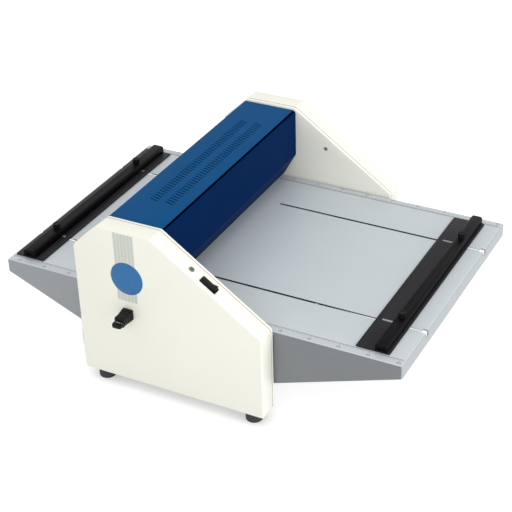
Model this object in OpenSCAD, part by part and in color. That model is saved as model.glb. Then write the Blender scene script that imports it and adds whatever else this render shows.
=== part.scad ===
// Desktop paper creasing machine. A beam under the hinged hood presses a crease blade onto a grooved matrix,
// driven by a gear motor through an eccentric shaft. All lengths are in mm.
// +X runs along the paper path towards the long front table, +Z is up, and the desk is z = 0.
// Inside this file x = 0 is the middle of the sides and y = 0 the middle of the machine; place() moves that
// to the middle of the whole machine's box.

/* [Sides] */
// length of each side along the paper path
side_len = 340; // [320:5:380]
// clear width between the two sides
side_gap = 475; // [460:5:520]
// height of the sides above the desk
side_top = 307.5; // [302:0.5:325]
// height of the sides at the front end
front_eave = 173; // [168:1:190]
// height of the sides at the rear end
rear_eave = 262; // [245:1:275]
// rear end of the flat top, from the rear end of the side
ridge_rear = 49; // [40:1:56]
// front end of the flat top, from the rear end of the side
ridge_front = 148; // [142:1:160]
// radius of the outline's corners
side_corner = 8; // [4:0.5:12]
// radius of the outline's lower front corner
front_corner = 4; // [3:0.5:8]
// thickness of the inner frame plates
frame_t = 6; // [5:0.5:8]
// depth of the hollow outer covers
cover_depth = 33; // [31:0.5:40]
// wall of the outer covers
cover_wall = 2.5; // [1.5:0.25:3]
// radius of the screws that hold the covers
cover_screw_r = 2; // [1.5:0.25:2.5]
// height of the rubber feet
foot_h = 19.5; // [16.5:0.5:20.5]
// radius of the rubber feet
foot_r = 14.5; // [10:0.5:15.5]
// front foot centres, from the front ends of the sides
foot_front = 27; // [20:0.5:60]
// rear foot centres, from the rear ends of the sides
foot_rear = 30.5; // [20:0.5:60]
// wall of the base tray
tray_t = 2; // [1.5:0.5:3]
// height of the base tray's rim
tray_h = 13; // [8:1:15]
// open front edge of the base tray, behind the sides' front ends
tray_in = 50; // [46:1:60]
// radius of the tie bars
tie_r = 8; // [5:0.5:8]
// length of the screws that hold the covers
cover_screw_l = 12; // [8:1:13]
// cover screw under the slope, in front of the top edge
upper_screw_x = 63.1; // [60:0.1:66]
// cover screw under the slope, below the top edge
upper_screw_z = 69.8; // [60:0.1:80]

/* [Tables] */
// height of the table surface
table_z = 165.5; // [164:0.5:168]
// thickness of the folded sheet
sheet_t = 2; // [1.5:0.25:2]
// gap between the tables and the sides
table_gap = 2; // [1.5:0.25:4]
// front table, from the crease line to its end
infeed_len = 459.4; // [420:0.2:520]
// rear table, from the crease line to its end
outfeed_len = 272.6; // [240:0.2:320]
// depth of the fold at the table ends
end_fold = 23.3; // [18:0.1:40]
// depth of the front table's side folds at the sides
infeed_fold = 101; // [80:1:101]
// start of the front table's side folds, in front of the crease line
infeed_fold_at = 131; // [120:1:135]
// start of the rear table's side folds, behind the crease line
outfeed_fold_at = 54; // [50:1:60]
// depth of the rear table's side folds at the sides
outfeed_fold = 95.5; // [80:0.5:100]
// outside radius of the folds
bend_r = 3; // [2.5:0.25:4]
// distance of the long slots from the middle
slot_y = 133.5; // [100:0.5:170]
// width of the long slots
slot_w = 4.5; // [4.4:0.1:6]
// start of the front table's slots, from the crease line
infeed_slot = 71; // [60:1:90]
// start of the rear table's slots, from the crease line
outfeed_slot = 69; // [60:1:80]
// width of the notch at the end of a slot
notch_w = 10.5; // [9:0.5:16]
// length of the notch along the table
notch_l = 8.4; // [6:0.2:12]
// depth of the notch down the end fold
notch_d = 9; // [5:0.5:12]
// width of the ruler strips
ruler_w = 13.6; // [10:0.1:14]
// thickness of the ruler strips
ruler_t = 0.4; // [0.2:0.1:0.5]

/* [Crease head] */
// crease line, from the rear end of the sides
crease_in = 99; // [97:0.5:101]
// width of the matrix
matrix_w = 13; // [10:0.5:16]
// height of the matrix
matrix_h = 4; // [3.5:0.5:6]
// width of the matrix's channel
channel_w = 2; // [1.5:0.1:2.5]
// depth of the matrix's channel
channel_d = 2.5; // [2:0.1:3]
// width of the lower beam
bed_w = 50; // [46:1:56]
// height of the lower beam
bed_h = 35.5; // [30:0.5:37]
// depth of the lower beam's bolts in its ends
bed_bolt_l = 28; // [15:1:30]
// lower beam's bolts, to either side of the crease line
bed_bolt_x = 17; // [15:0.5:18]
// lower beam's bolts, above its bottom
bed_bolt_z = 10; // [8:0.5:12]
// width of the upper beam
beam_w = 30; // [26:1:32]
// height of the upper beam
beam_h = 60; // [50:1:64]
// wall of the upper beam beside its hollow
beam_wall = 7; // [6:0.5:8]
// open height under the raised blade
paper_gap = 4.5; // [4.3:0.1:6]
// thickness of the crease blade
blade_t = 1; // [0.6:0.1:1.4]
// how far the blade stands out of its holder
blade_out = 6; // [5.5:0.1:7]
// width of the blade holder
holder_w = 16; // [15:0.5:20]
// height of the blade holder
holder_h = 9; // [9:0.5:12]
// number of the blade clamp screws
holder_screws_n = 9; // [5:2:13]
// width of one ejector strip
rubber_w = 5; // [3:0.5:5]
// width of the lift plates
plate_w = 64; // [60:1:70]
// depth of the upper beam's screws in its ends
lift_screw_l = 18; // [10:1:19]
// thickness of the lift plates
plate_t = 6; // [5:0.5:7]

/* [Drive] */
// radius of the eccentric shaft
shaft_r = 10; // [8:0.5:11]
// height of the eccentric shaft
shaft_z = 78; // [76:0.5:80]
// radius of the eccentrics
cam_r = 18; // [16:0.5:20]
// throw of the eccentrics, half of the blade's stroke
cam_throw = 3; // [2.8:0.05:3.1]
// module of the gears
gear_m = 2; // [1.75:0.05:2.05]
// teeth of the drive gear
gear_teeth = 40; // [36:1:42]
// teeth of the motor pinion
pinion_teeth = 14; // [14:2:18]
// width of the drive gear
gear_w = 12; // [8:1:16]
// radius of the gearbox
gearbox_r = 38; // [32:1:40]
// length of the gearbox
gearbox_l = 40; // [30:1:50]
// radius of the motor
motor_r = 33; // [28:1:36]
// length of the motor
motor_l = 120; // [90:1:150]

/* [Hood] */
// step from the top of the sides down to the hood
hood_drop = 3.5; // [2:0.5:5]
// front face of the hood, from the rear end of the sides
hood_front = 150.5; // [145:0.5:156]
// radius of the hood's front bend
hood_r = 6; // [4:0.5:10]
// radius of the hood's rear bend
hood_rear_r = 2.5; // [2.5:0.5:4]
// how far the hood stands out behind the rear panel
hood_over = 4; // [0:0.5:4.5]
// depth of the hood's rear lip
hood_lip = 10; // [7:0.5:11]
// height where the front face turns in to the slanted lip
lip_top = 214.5; // [208:0.5:222]
// how far the slanted lip runs in
lip_in = 24.5; // [18:0.5:26]
// open height under the slanted lip
lip_gap = 5; // [4.8:0.1:7]
// gap between the hood and the sides
hood_gap = 1; // [0.8:0.1:2]
// length of one vent
vent_l = 18; // [8:0.5:20]
// width of one vent
vent_w = 2.5; // [1.5:0.1:3.5]
// distance from vent to vent
vent_pitch = 7.5; // [6:0.1:9]
// slant of the vents, in degrees
vent_slant = 15; // [0:1:30]
// number of vents in a row
vents = 43; // [20:1:46]
// centre of the front vent row, behind the hood's front
vent_front = 36.5; // [24:0.5:40]
// centre of the rear vent row, behind the hood's front
vent_rear = 65.8; // [62:0.1:70]
// radius of the hinge rod
rod_r = 4; // [3:0.25:4]
// length of one hinge bracket
bracket_l = 20; // [10:1:30]

/* [Stops] */
// width of a stop's base strip
strip_w = 57; // [54:0.5:64]
// thickness of a stop's base strip
strip_t = 2; // [1.5:0.25:3]
// gap between the ends of the stops and the ruler strips
stop_gap = 2.4; // [0.5:0.1:15]
// height of the rails above the table
rail_top = 15; // [13:0.5:18]
// width of the front stop's rail
infeed_rail_w = 20; // [18:0.5:24]
// width of the rear stop's rail
outfeed_rail_w = 23.5; // [18:0.5:25]
// radius of the rails' top edges
rail_r = 4.5; // [2:0.5:5]
// width of the hollow under the rails
rail_hollow_w = 13; // [10:0.5:14]
// height of the hollow under the rails
rail_hollow_h = 6.5; // [4:0.5:7]
// inner edge of the front strip, from the crease line
infeed_stop_at = 373.4; // [360:0.2:380]
// inner edge of the rear strip, from the crease line
outfeed_stop_at = 210.5; // [206:0.5:212]
// radius of a clamp knob
knob_r = 6.25; // [5:0.25:8]
// height of a clamp knob
knob_h = 10.5; // [8:0.5:14]
// radius of the clamp screw
clamp_r = 2; // [1.5:0.1:2.1]

/* [Controls] */
// width and height of the selector knob
selector_w = 19; // [16:0.5:24]
// how far the selector knob stands out
selector_out = 40; // [30:0.5:48]
// height of the selector
selector_z = 155.4; // [150:0.1:160]
// selector behind the crease line
selector_back = 2; // [0:0.5:4]
// lamp, down the front slope from the top
lamp_at = 78.7; // [72:0.1:84]
// radius of the pilot lamp's bezel
lamp_r = 5; // [4:0.25:6]
// depth of the pilot lamp inside the cover
lamp_l = 18; // [10:1:24]
// rocker centre, down the front slope from the top
rocker_at = 115.4; // [112:0.1:140]
// length of the rocker's bezel
rocker_l = 32.7; // [28:0.1:36]
// width of the rocker's bezel
rocker_w = 15; // [13:0.5:18]
// swing of the rocker
rocker_swing = 24; // [16:1:26]
// radius of the round badge
badge_r = 30; // [20:1:34]
// height of the badge's centre
badge_z = 222.5; // [215:0.5:230]
// length of the control board
board_l = 100; // [80:1:110]
// height of the control board
board_h = 70; // [50:1:80]
// height of the mains inlet's centre
inlet_z = 80; // [70:1:110]
// height of the pedal socket's centre
pedal_z = 122; // [110:1:150]

/* [Hidden] */
$fn = 48;
slide_gap = 0.3;   // between pieces that slide or turn past each other
run_gap = 0.05;    // radial clearance of a shaft in its bore
bolt_gap = 0.2;    // radial clearance of a bolt in its hole
yoke_gap = 1;      // above and below an eccentric in its lift plate
bezel_t = 1.5;     // how far bezels stand proud of the side
badge_t = 0.6;
rear_x = -side_len / 2;
front_x = side_len / 2;
frame_in = side_gap / 2;
frame_out = frame_in + frame_t;
side_out = frame_out + cover_depth;
crease_x = rear_x + crease_in;
outline = [
    [rear_x, foot_h], [rear_x, rear_eave], [rear_x + ridge_rear, side_top],
    [rear_x + ridge_front, side_top], [front_x, front_eave], [front_x, foot_h]
];
corners = [side_corner, side_corner, side_corner, side_corner, side_corner, front_corner];
slope_top = outline[3];
slope_a = atan2(side_top - front_eave, front_x - slope_top.x);
infeed_end = crease_x + infeed_len;
outfeed_end = crease_x - outfeed_len;
mid_x = (infeed_end + outfeed_end) / 2;
mid_y = -selector_out / 2;
table_y = frame_in - table_gap;
seat_z = table_z - sheet_t;
table_split = matrix_w / 2 + 0.5;    // from the crease line to either table's inner edge
ruler_in = table_y - bend_r - ruler_w;
stop_len = 2 * (ruler_in - stop_gap);
tie_head = 1.2;
tray_pitch = (side_len - tray_in - 90) / 5;
tray_slot = tray_pitch * 0.6;
grip_h = 6;        // thickness of the selector's grip
grip_drop = 2;     // the grip's middle, below the selector's middle
bed_bottom = seat_z - bed_h;
matrix_bottom = table_z - matrix_h;
tip_z = table_z + paper_gap;
holder_z = tip_z + blade_out;
beam_z = holder_z + holder_h;
stroke = 2 * cam_throw;
rubber_z = table_z + stroke + slide_gap + 0.2;
plate_in = frame_out + 5.5;
plate_out = plate_in + plate_t;
plate_top = beam_z + beam_h + 5;
plate_bottom = shaft_z - cam_r - 10;
cam_in = plate_in - 0.5;
cam_out = plate_out + 0.5;
window_w = 2 * (cam_r + cam_throw + yoke_gap);
window_h = 2 * (cam_r + yoke_gap);
gear_near = -frame_in + 11.5;
gear_far = gear_near + gear_w;
motor_x = crease_x + gear_m * (gear_teeth + pinion_teeth) / 2;
bracket_near = gear_far + 4;
gearbox_near = bracket_near + 5;
motor_near = gearbox_near + gearbox_l;
hood_z = side_top - hood_drop;
hood_x = rear_x + hood_front;
panel_x = rear_x + ridge_rear;
hood_back = panel_x - hood_over;
hood_y = frame_in - hood_gap;
lip_z = table_z + lip_gap;
rod_x = panel_x + 8;
rod_z = hood_z - 8;
strip_z = table_z + slide_gap;
rail_z = strip_z + strip_t;
rail_high = table_z + rail_top;
nut_top = seat_z - slide_gap;
nut_h = 4.2;
infeed_strip_x = crease_x + infeed_stop_at;
infeed_rail_x = infeed_strip_x + 32.1;
infeed_screw_x = infeed_rail_x + 11.5;
outfeed_strip_x = crease_x - outfeed_stop_at;
outfeed_rail_x = outfeed_strip_x - 16;
outfeed_screw_x = outfeed_rail_x - 10.5;
tie_points = [[rear_x + 30, 52], [front_x - 50, 52]];
screw_points = [
    [rear_x + 14, 46], [front_x - 20, 50], [front_x - 20, 122],
    [slope_top.x + upper_screw_x, side_top - upper_screw_z], [rear_x + 22, 225]
];
infeed_bolts = [[90, 95], [150, 95], [90, 150], [150, 150]];
outfeed_bolts = [[-155, 100], [-155, 150]];
bed_bolts = [for (s = [-1, 1]) [crease_x + s * bed_bolt_x, bed_bottom + bed_bolt_z]];
beam_screws = [beam_z + 5, beam_z + beam_h - 5];
switch_y = -(frame_out + side_out - cover_wall) / 2 - 3;

// ---- outlines -------------------------------------------------------------------------------------------

function unit(v) = v / norm(v);
function to_prev(p, i) = unit(p[(i + len(p) - 1) % len(p)] - p[i]);
function to_next(p, i) = unit(p[(i + 1) % len(p)] - p[i]);
function half_angle(p, i) = acos(to_prev(p, i) * to_next(p, i)) / 2;
function arc_centre(p, i, r) = p[i] + unit(to_prev(p, i) + to_next(p, i)) * r / sin(half_angle(p, i));
// a convex closed outline drawn in by d on every edge
function inset(p, d) = [for (i = [0:len(p) - 1]) arc_centre(p, i, d)];

// a convex closed outline with a true arc at each corner; r is one radius or one for each corner
module rounded(p, r) {
    radii = is_list(r) ? r : [for (q = p) r];
    difference() {
        polygon(p);
        for (i = [0:len(p) - 1])
            if (radii[i] > 0) {
                t = radii[i] / tan(half_angle(p, i));
                c = arc_centre(p, i, radii[i]);
                difference() {
                    polygon([c, p[i] + to_prev(p, i) * t, 2 * p[i] - c, p[i] + to_next(p, i) * t]);
                    translate(c)
                        circle(radii[i]);
                }
            }
    }
}

function box_points(x0, y0, x1, y1) = [[x0, y0], [x1, y0], [x1, y1], [x0, y1]];

// an open path with an arc at each inner corner, as the outside of a folded sheet
function turn(a, b) = let (d = b - a) d > 180 ? d - 360 : d < -180 ? d + 360 : d;
function arc(p, i, radii) =
    let (
        r = is_list(radii) ? radii[i] : radii,
        c = arc_centre(p, i, r),
        s = p[i] + to_prev(p, i) * r / tan(half_angle(p, i)) - c,
        e = p[i] + to_next(p, i) * r / tan(half_angle(p, i)) - c,
        a = atan2(s.y, s.x),
        w = turn(a, atan2(e.y, e.x)),
        n = 8
    )
    [for (k = [0:n]) c + r * [cos(a + w * k / n), sin(a + w * k / n)]];
function folded(p, r) = [
    for (i = [0:len(p) - 1])
        each i == 0 || i == len(p) - 1 ? [p[i]] : arc(p, i, r)
];
// a closed outline with every corner turned through an arc, for outlines whose slopes run askew
function softened(p, r) = [for (i = [0:len(p) - 1]) each arc(p, i, r)];
// the right-hand side of a path, square at both ends
function right_of(a, b) = let (u = unit(b - a)) [u.y, -u.x];
function shifted(p, t) = [
    for (i = [0:len(p) - 1])
        let (
            a = i == 0 ? right_of(p[0], p[1]) : right_of(p[i - 1], p[i]),
            b = i == len(p) - 1 ? a : right_of(p[i], p[i + 1]),
            m = unit(a + b)
        )
        p[i] + m * t / (m * a)
];
module folded_sheet(p, t, r) {
    path = folded(p, r);
    inner = shifted(path, t);
    polygon(concat(path, [for (i = [len(inner) - 1:-1:0]) inner[i]]));
}

// an outline of teeth with involute flanks, thinned by the backlash
function roll(a) = tan(a) * 180 / PI - a;
function flank(n, m, r) =
    let (pitch = n * m / 2, base = pitch * cos(20))
    90 / n - 4 / pitch + roll(20) - roll(acos(min(1, base / r)));
function polar(r, a) = [r * cos(a), r * sin(a)];
function gear_points(n, m) =
    let (
        pitch = n * m / 2,
        base = pitch * cos(20),
        root = pitch - 1.2 * m,
        tip = pitch + 0.9 * m,
        low = max(base, root),
        rs = [root, for (k = [0:4]) low + (tip - low) * k / 4]
    )
    [
        for (i = [0:n - 1])
            each concat(
                [for (k = [0:5]) polar(rs[k], 360 * i / n - flank(n, m, rs[k]))],
                [for (k = [5:-1:0]) polar(rs[k], 360 * i / n + flank(n, m, rs[k]))]
            )
    ];

// a knurled outline
function knurl_points(r, n, d) = [for (i = [0:2 * n - 1]) polar(i % 2 == 0 ? r : r - d, 180 * i / n)];

// ---- placing --------------------------------------------------------------------------------------------

module place() translate([-mid_x, -mid_y, 0]) children();
// an X-Z outline, extruded from y0 to y1
module slab(y0, y1) translate([0, y1, 0]) rotate([90, 0, 0]) linear_extrude(y1 - y0) children();
// a Y-Z outline, extruded from x0 to x1
module bar(x0, x1) translate([x0, 0, 0]) rotate([90, 0, 90]) linear_extrude(x1 - x0) children();
// an X-Y outline, extruded from z0 to z1
module deck(z0, z1) translate([0, 0, z0]) linear_extrude(z1 - z0) children();
module block(p, q) translate(p) cube(q - p);
module pin_y(p, r, y0, y1) translate([p.x, y1, p.y]) rotate([90, 0, 0]) cylinder(h = y1 - y0, r = r);
module pin_x(y, z, r, x0, x1) translate([x0, y, z]) rotate([0, 90, 0]) cylinder(h = x1 - x0, r = r);
module pin_z(x, y, r, z0, z1) translate([x, y, z0]) cylinder(h = z1 - z0, r = r);
module near() mirror([0, 1, 0]) children();
module both() {
    children();
    near() children();
}
module on_slope(s, y)
    translate([slope_top.x + s * cos(slope_a), y, slope_top.y - s * sin(slope_a)])
        rotate([0, slope_a, 0])
            children();

// ---- sides ----------------------------------------------------------------------------------------------

module side_frame() {
    // the closed hood rests on this stud
    pin_y([hood_x - 12, hood_z - sheet_t - slide_gap - 4], 4, hood_y - 8, frame_in + 1);
    difference() {
        slab(frame_in, frame_out) polygon(softened(outline, corners));
        slab(frame_in - 1, frame_out + 1)
            polygon(box_points(crease_x - beam_w / 2 - 2, beam_z - stroke - 3, crease_x + beam_w / 2 + 2,
                beam_z + beam_h + 3));
        pin_y([crease_x, shaft_z], shaft_r + 2, frame_in - 1, frame_out + 1);
        pin_y([rod_x, rod_z], rod_r, frame_in - 1, frame_out + 1);
        for (p = tie_points) pin_y(p, tie_r / 2 + bolt_gap, frame_in - 1, frame_out + 1);
        for (p = bed_bolts) pin_y(p, 4 + bolt_gap, frame_in - 1, frame_out + 1);
        for (p = concat(infeed_bolts, outfeed_bolts)) pin_y(p, 3 + bolt_gap, frame_in - 1, frame_out + 1);
        for (p = screw_points) {
            pin_y(p, cover_screw_r + bolt_gap, frame_in - 1, frame_out + 1);
            pin_y(p, 1.8 * cover_screw_r + bolt_gap, frame_in - 1, frame_in + 2);
        }
    }
}

module side_cover() {
    difference() {
        slab(frame_out, side_out) polygon(softened(outline, corners));
        slab(frame_out - 1, side_out - cover_wall)
            polygon(softened(inset(outline, cover_wall), [for (r = corners) max(r - cover_wall, 0.5)]));
    }
    for (p = screw_points)
        difference() {
            pin_y(p, 3 + cover_screw_r, frame_out, side_out - cover_wall);
            pin_y(p, cover_screw_r, frame_out - 1, frame_out + 14);
        }
}

module side_frame_near() color("Gainsboro") place() near() side_frame();
module side_frame_far() color("Gainsboro") place() side_frame();
module side_cover_far() color("Ivory") place() side_cover();

module side_cover_near() {
    color("Ivory") place() difference() {
        near() side_cover();
        on_slope(rocker_at, switch_y) rocker_body(0.1, -30);
        on_slope(lamp_at, switch_y) cylinder(h = 8 * cover_wall, r = lamp_r - 1 + 0.1, center = true);
        pin_y([crease_x - selector_back, selector_z], 3 + slide_gap, -side_out - 1,
            -side_out + cover_wall + 1);
        block([rear_x - 1, switch_y - 10.1, inlet_z - 13.6], [rear_x + 5, switch_y + 10.1, inlet_z + 13.6]);
        pin_x(switch_y, pedal_z, 8.1, rear_x - 1, rear_x + 5);
    }
}

module cover_screws() {
    color("Silver") place() both() for (p = screw_points) {
        pin_y(p, 1.8 * cover_screw_r, frame_in, frame_in + 2);
        pin_y(p, cover_screw_r, frame_in + 1, frame_out + cover_screw_l);
    }
}

module base_plate() {
    color("DarkGray") place() difference() {
        block([rear_x + 10, -frame_in, foot_h + 2], [front_x - tray_in, frame_in, foot_h + 2 + tray_h]);
        block([rear_x + 10 + tray_t, -frame_in + tray_t, foot_h + 2 + tray_t],
            [front_x - tray_in + 1, frame_in - tray_t, foot_h + 3 + tray_h]);
        both() for (x = [0:5], y = [1:6])
            translate([rear_x + 70 + x * tray_pitch, y * frame_in / 9, foot_h + 2])
                cube([tray_slot, 6, 4 * tray_t], center = true);
    }
}

module tie_bars() {
    color("Silver") place() for (p = tie_points) {
        pin_y(p, tie_r, -frame_in, frame_in);
        pin_y(p, tie_r / 2, -frame_out - 1, frame_out + 1);
        both() pin_y(p, tie_r - 1, frame_out, frame_out + tie_head);
    }
}

module rubber_feet() {
    color("DimGray") place() both()
        for (x = [rear_x + foot_rear, front_x - foot_front])
            translate([x, (frame_in + side_out) / 2, 0])
                rotate_extrude()
                    polygon([[0, 0], [foot_r - 1.5, 0], [foot_r, 1.5], [foot_r, foot_h], [0, foot_h]]);
}

// ---- tables ---------------------------------------------------------------------------------------------

// a folded table that ends at x1; its side folds start at xf and hang down by fold as far as xs
module table(x0, x1, xf, xs, fold) {
    s = sign(x1 - x0);
    lo = table_z - fold;
    end_z = table_z - end_fold;
    difference() {
        intersection() {
            slab(-table_y, table_y) union() {
                polygon([[x0, seat_z], [x0, table_z], [xf, table_z], [xf, seat_z]]);
                rounded([[xf, lo], [xf, table_z], [x1, table_z], [x1, end_z], [xs, lo]],
                    [0, 0, bend_r, 0, 0]);
            }
            bar(min(x0, x1), max(x0, x1))
                rounded(box_points(-table_y, lo - 1, table_y, table_z), [0, 0, bend_r, bend_r]);
            deck(lo - 1, table_z + 1)
                rounded([[x0, -table_y], [x1, -table_y], [x1, table_y], [x0, table_y]],
                    [0, bend_r, bend_r, 0]);
        }
        intersection() {
            slab(-table_y + sheet_t, table_y - sheet_t)
                rounded([[x0 - s, lo - 2], [x0 - s, seat_z], [x1 - s * sheet_t, seat_z],
                    [x1 - s * sheet_t, lo - 2]], [0, 0, bend_r - sheet_t, 0]);
            bar(min(x0, x1) - 2, max(x0, x1))
                rounded(box_points(-table_y + sheet_t, lo - 2, table_y - sheet_t, seat_z),
                    [0, 0, bend_r - sheet_t, bend_r - sheet_t]);
        }
        block([min(x0, xf) - 1, table_y - sheet_t - 1, lo - 2], [min(x0, xf), table_y + 1, lo - 1]);
    }
}

// the long slots of a table, from x0 out through the end x1, each with a wider notch at the end
module slots(x0, x1) {
    s = sign(x1 - x0);
    both() {
        block([min(x0, x1 + s), slot_y - slot_w / 2, seat_z - 1],
            [max(x0, x1 + s), slot_y + slot_w / 2, table_z + 1]);
        block([min(x1 - s * notch_l, x1 + s), slot_y - notch_w / 2, table_z - notch_d],
            [max(x1 - s * notch_l, x1 + s), slot_y + notch_w / 2, table_z + 1]);
        pin_z(x0, slot_y, slot_w / 2, seat_z - 1, table_z + 1);
    }
}

module bolt_holes(points)
    both() for (p = points) pin_y(p, 2.5 + bolt_gap, table_y - sheet_t - 1, table_y + 1);

module infeed_table() {
    color("LightSteelBlue") place() difference() {
        table(crease_x + table_split, infeed_end, crease_x + infeed_fold_at, front_x, infeed_fold);
        slots(crease_x + infeed_slot, infeed_end);
        bolt_holes(infeed_bolts);
    }
}

module outfeed_table() {
    color("LightSteelBlue") place() difference() {
        table(crease_x - table_split, outfeed_end, crease_x - outfeed_fold_at, rear_x, outfeed_fold);
        slots(crease_x - outfeed_slot, outfeed_end);
        bolt_holes(outfeed_bolts);
    }
}

module rulers(x0, x1)
    both() block([x0, ruler_in, table_z], [x1, table_y - bend_r, table_z + ruler_t]);

module infeed_rulers() color("White") place() rulers(crease_x + table_split + 2, infeed_end - bend_r);
module outfeed_rulers() color("White") place() rulers(outfeed_end + bend_r, crease_x - table_split - 2);

module table_screws() {
    color("Silver") place() both() for (p = concat(infeed_bolts, outfeed_bolts)) {
        pin_y(p, 5, table_y, frame_in);
        pin_y(p, 3, frame_in - 1, frame_out + 1);
        pin_y(p, 5.5, frame_out, frame_out + 3);
        pin_y(p, 2.5, table_y - sheet_t - 4, table_y + 1);
        translate([p.x, table_y - sheet_t, p.y]) rotate([90, 0, 0]) cylinder(h = 3, r = 4.6, $fn = 6);
    }
}

// ---- crease head ----------------------------------------------------------------------------------------

module lower_beam() {
    color("SlateGray") place() difference() {
        block([crease_x - bed_w / 2, -frame_in, bed_bottom], [crease_x + bed_w / 2, frame_in, seat_z]);
        block([crease_x - matrix_w / 2, -frame_in - 1, matrix_bottom],
            [crease_x + matrix_w / 2, frame_in + 1, seat_z + 1]);
        both() for (p = bed_bolts) pin_y(p, 4, frame_in - bed_bolt_l - 2, frame_in + 1);
    }
}

module crease_matrix() {
    color("Silver") place() difference() {
        block([crease_x - matrix_w / 2, -frame_in + 4, matrix_bottom],
            [crease_x + matrix_w / 2, frame_in - 4, table_z]);
        block([crease_x - channel_w / 2, -frame_in, table_z - channel_d],
            [crease_x + channel_w / 2, frame_in, table_z + 1]);
    }
}

module beam_bolts() {
    color("DimGray") place() both() for (p = bed_bolts) {
        pin_y(p, 4, frame_in - bed_bolt_l, frame_out + 1);
        difference() {
            pin_y(p, 6.5, frame_out, frame_out + 4.5);
            translate([p.x, frame_out + 5, p.y]) rotate([90, 0, 0]) cylinder(h = 2.5, r = 3.4, $fn = 6);
        }
    }
}

module upper_beam() {
    color("SteelBlue") place() difference() {
        block([crease_x - beam_w / 2, -plate_in, beam_z],
            [crease_x + beam_w / 2, plate_in, beam_z + beam_h]);
        block([crease_x - beam_w / 2 + beam_wall, -plate_in - 1, beam_z + 10],
            [crease_x + beam_w / 2 - beam_wall, plate_in + 1, beam_z + beam_h - 10]);
        both() for (z = beam_screws) pin_y([crease_x, z], 3, plate_in - lift_screw_l - 2, plate_in + 1);
    }
}

function clamp_points() =
    [for (i = [0:holder_screws_n - 1])
        (i - (holder_screws_n - 1) / 2) * (side_gap - 50) / (holder_screws_n - 1)];

module blade_holder() {
    color("DarkSlateGray") place() difference() {
        block([crease_x - holder_w / 2, -frame_in + 5, holder_z],
            [crease_x + holder_w / 2, frame_in - 5, beam_z]);
        block([crease_x - blade_t / 2, -frame_in, holder_z - 1],
            [crease_x + blade_t / 2, frame_in, beam_z - 1]);
        for (y = clamp_points())
            pin_x(y, holder_z + 4.5, 2, crease_x - holder_w / 2 - 1, crease_x + holder_w / 2 + 1);
    }
}

module crease_blade() {
    color("Silver") place() difference() {
        block([crease_x - blade_t / 2, -frame_in + 7, tip_z],
            [crease_x + blade_t / 2, frame_in - 7, beam_z - 1]);
        for (y = clamp_points())
            pin_x(y, holder_z + 4.5, 2 + bolt_gap, crease_x - blade_t, crease_x + blade_t);
    }
}

module holder_screws() {
    color("DimGray") place() for (y = clamp_points()) {
        pin_x(y, holder_z + 4.5, 2, crease_x - holder_w / 2, crease_x + holder_w / 2 + 1);
        pin_x(y, holder_z + 4.5, 3.5, crease_x + holder_w / 2, crease_x + holder_w / 2 + 3);
    }
}

module ejector_rubbers() {
    color("DimGray") place() for (s = [-1, 1])
        translate([crease_x + s * (blade_t / 2 + 1.5 + rubber_w / 2), 0, (rubber_z + holder_z) / 2])
            cube([rubber_w, side_gap - 20, holder_z - rubber_z], center = true);
}

module lift_plate() {
    difference() {
        slab(plate_in, plate_out)
            rounded(box_points(crease_x - plate_w / 2, plate_bottom, crease_x + plate_w / 2, plate_top), 4);
        slab(plate_in - 1, plate_out + 1)
            polygon(box_points(crease_x - window_w / 2, shaft_z + cam_throw - window_h / 2,
                crease_x + window_w / 2, shaft_z + cam_throw + window_h / 2));
        slab(plate_in - 1, plate_out + 1)
            rounded(box_points(crease_x - 14, shaft_z + cam_r + 18, crease_x + 14, beam_z - 12), 6);
        for (z = beam_screws) pin_y([crease_x, z], 3 + bolt_gap, plate_in - 1, plate_out + 1);
    }
}

module lift_plate_near() color("LightSlateGray") place() near() lift_plate();
module lift_plate_far() color("LightSlateGray") place() lift_plate();

module lift_screws() {
    color("Silver") place() both() for (z = beam_screws) {
        pin_y([crease_x, z], 3, plate_in - lift_screw_l, plate_out + 1);
        pin_y([crease_x, z], 5, plate_out, plate_out + 3);
    }
}

// one gib: a channel round the edge of the lift plate, fixed to the frame
module gib(s) {
    edge = crease_x + s * (plate_w / 2 + slide_gap);
    deck(bed_bottom - 10, bed_bottom + 42) polygon([
        [edge + s * 12, frame_out], [edge - s * 5, frame_out], [edge - s * 5, plate_in - slide_gap],
        [edge, plate_in - slide_gap], [edge, plate_out + slide_gap], [edge - s * 5, plate_out + slide_gap],
        [edge - s * 5, plate_out + slide_gap + 2], [edge + s * 12, plate_out + slide_gap + 2]
    ]);
}

module guide_gibs() {
    color("Goldenrod") place() both() {
        gib(-1);
        gib(1);
    }
}

// ---- drive ----------------------------------------------------------------------------------------------

module eccentric_shaft() {
    color("Silver") place() difference() {
        pin_y([crease_x, shaft_z], shaft_r, -plate_out - 7, plate_out + 7);
        both() difference() {
            pin_y([crease_x, shaft_z], shaft_r + 1, cam_out + 1, cam_out + 2.3);
            pin_y([crease_x, shaft_z], shaft_r - 1, cam_out, cam_out + 3);
        }
    }
}

module eccentric() {
    difference() {
        pin_y([crease_x, shaft_z + cam_throw], cam_r, cam_in, cam_out);
        pin_y([crease_x, shaft_z], shaft_r, cam_in - 1, cam_out + 1);
    }
}

module eccentric_near() color("DarkGoldenrod") place() near() eccentric();
module eccentric_far() color("DarkGoldenrod") place() eccentric();

module shaft_bushes() {
    color("Peru") place() both() difference() {
        union() {
            pin_y([crease_x, shaft_z], shaft_r + 2, frame_in - 2, frame_out + 1);
            pin_y([crease_x, shaft_z], shaft_r + 6, frame_out, cam_in - 1.5);
        }
        pin_y([crease_x, shaft_z], shaft_r + run_gap, frame_in - 3, cam_in);
    }
}

module retaining_rings() {
    color("Gray") place() both() difference() {
        pin_y([crease_x, shaft_z], shaft_r + 2.5, cam_out + 1, cam_out + 2.3);
        pin_y([crease_x, shaft_z], shaft_r - 1, cam_out, cam_out + 3);
    }
}

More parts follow.
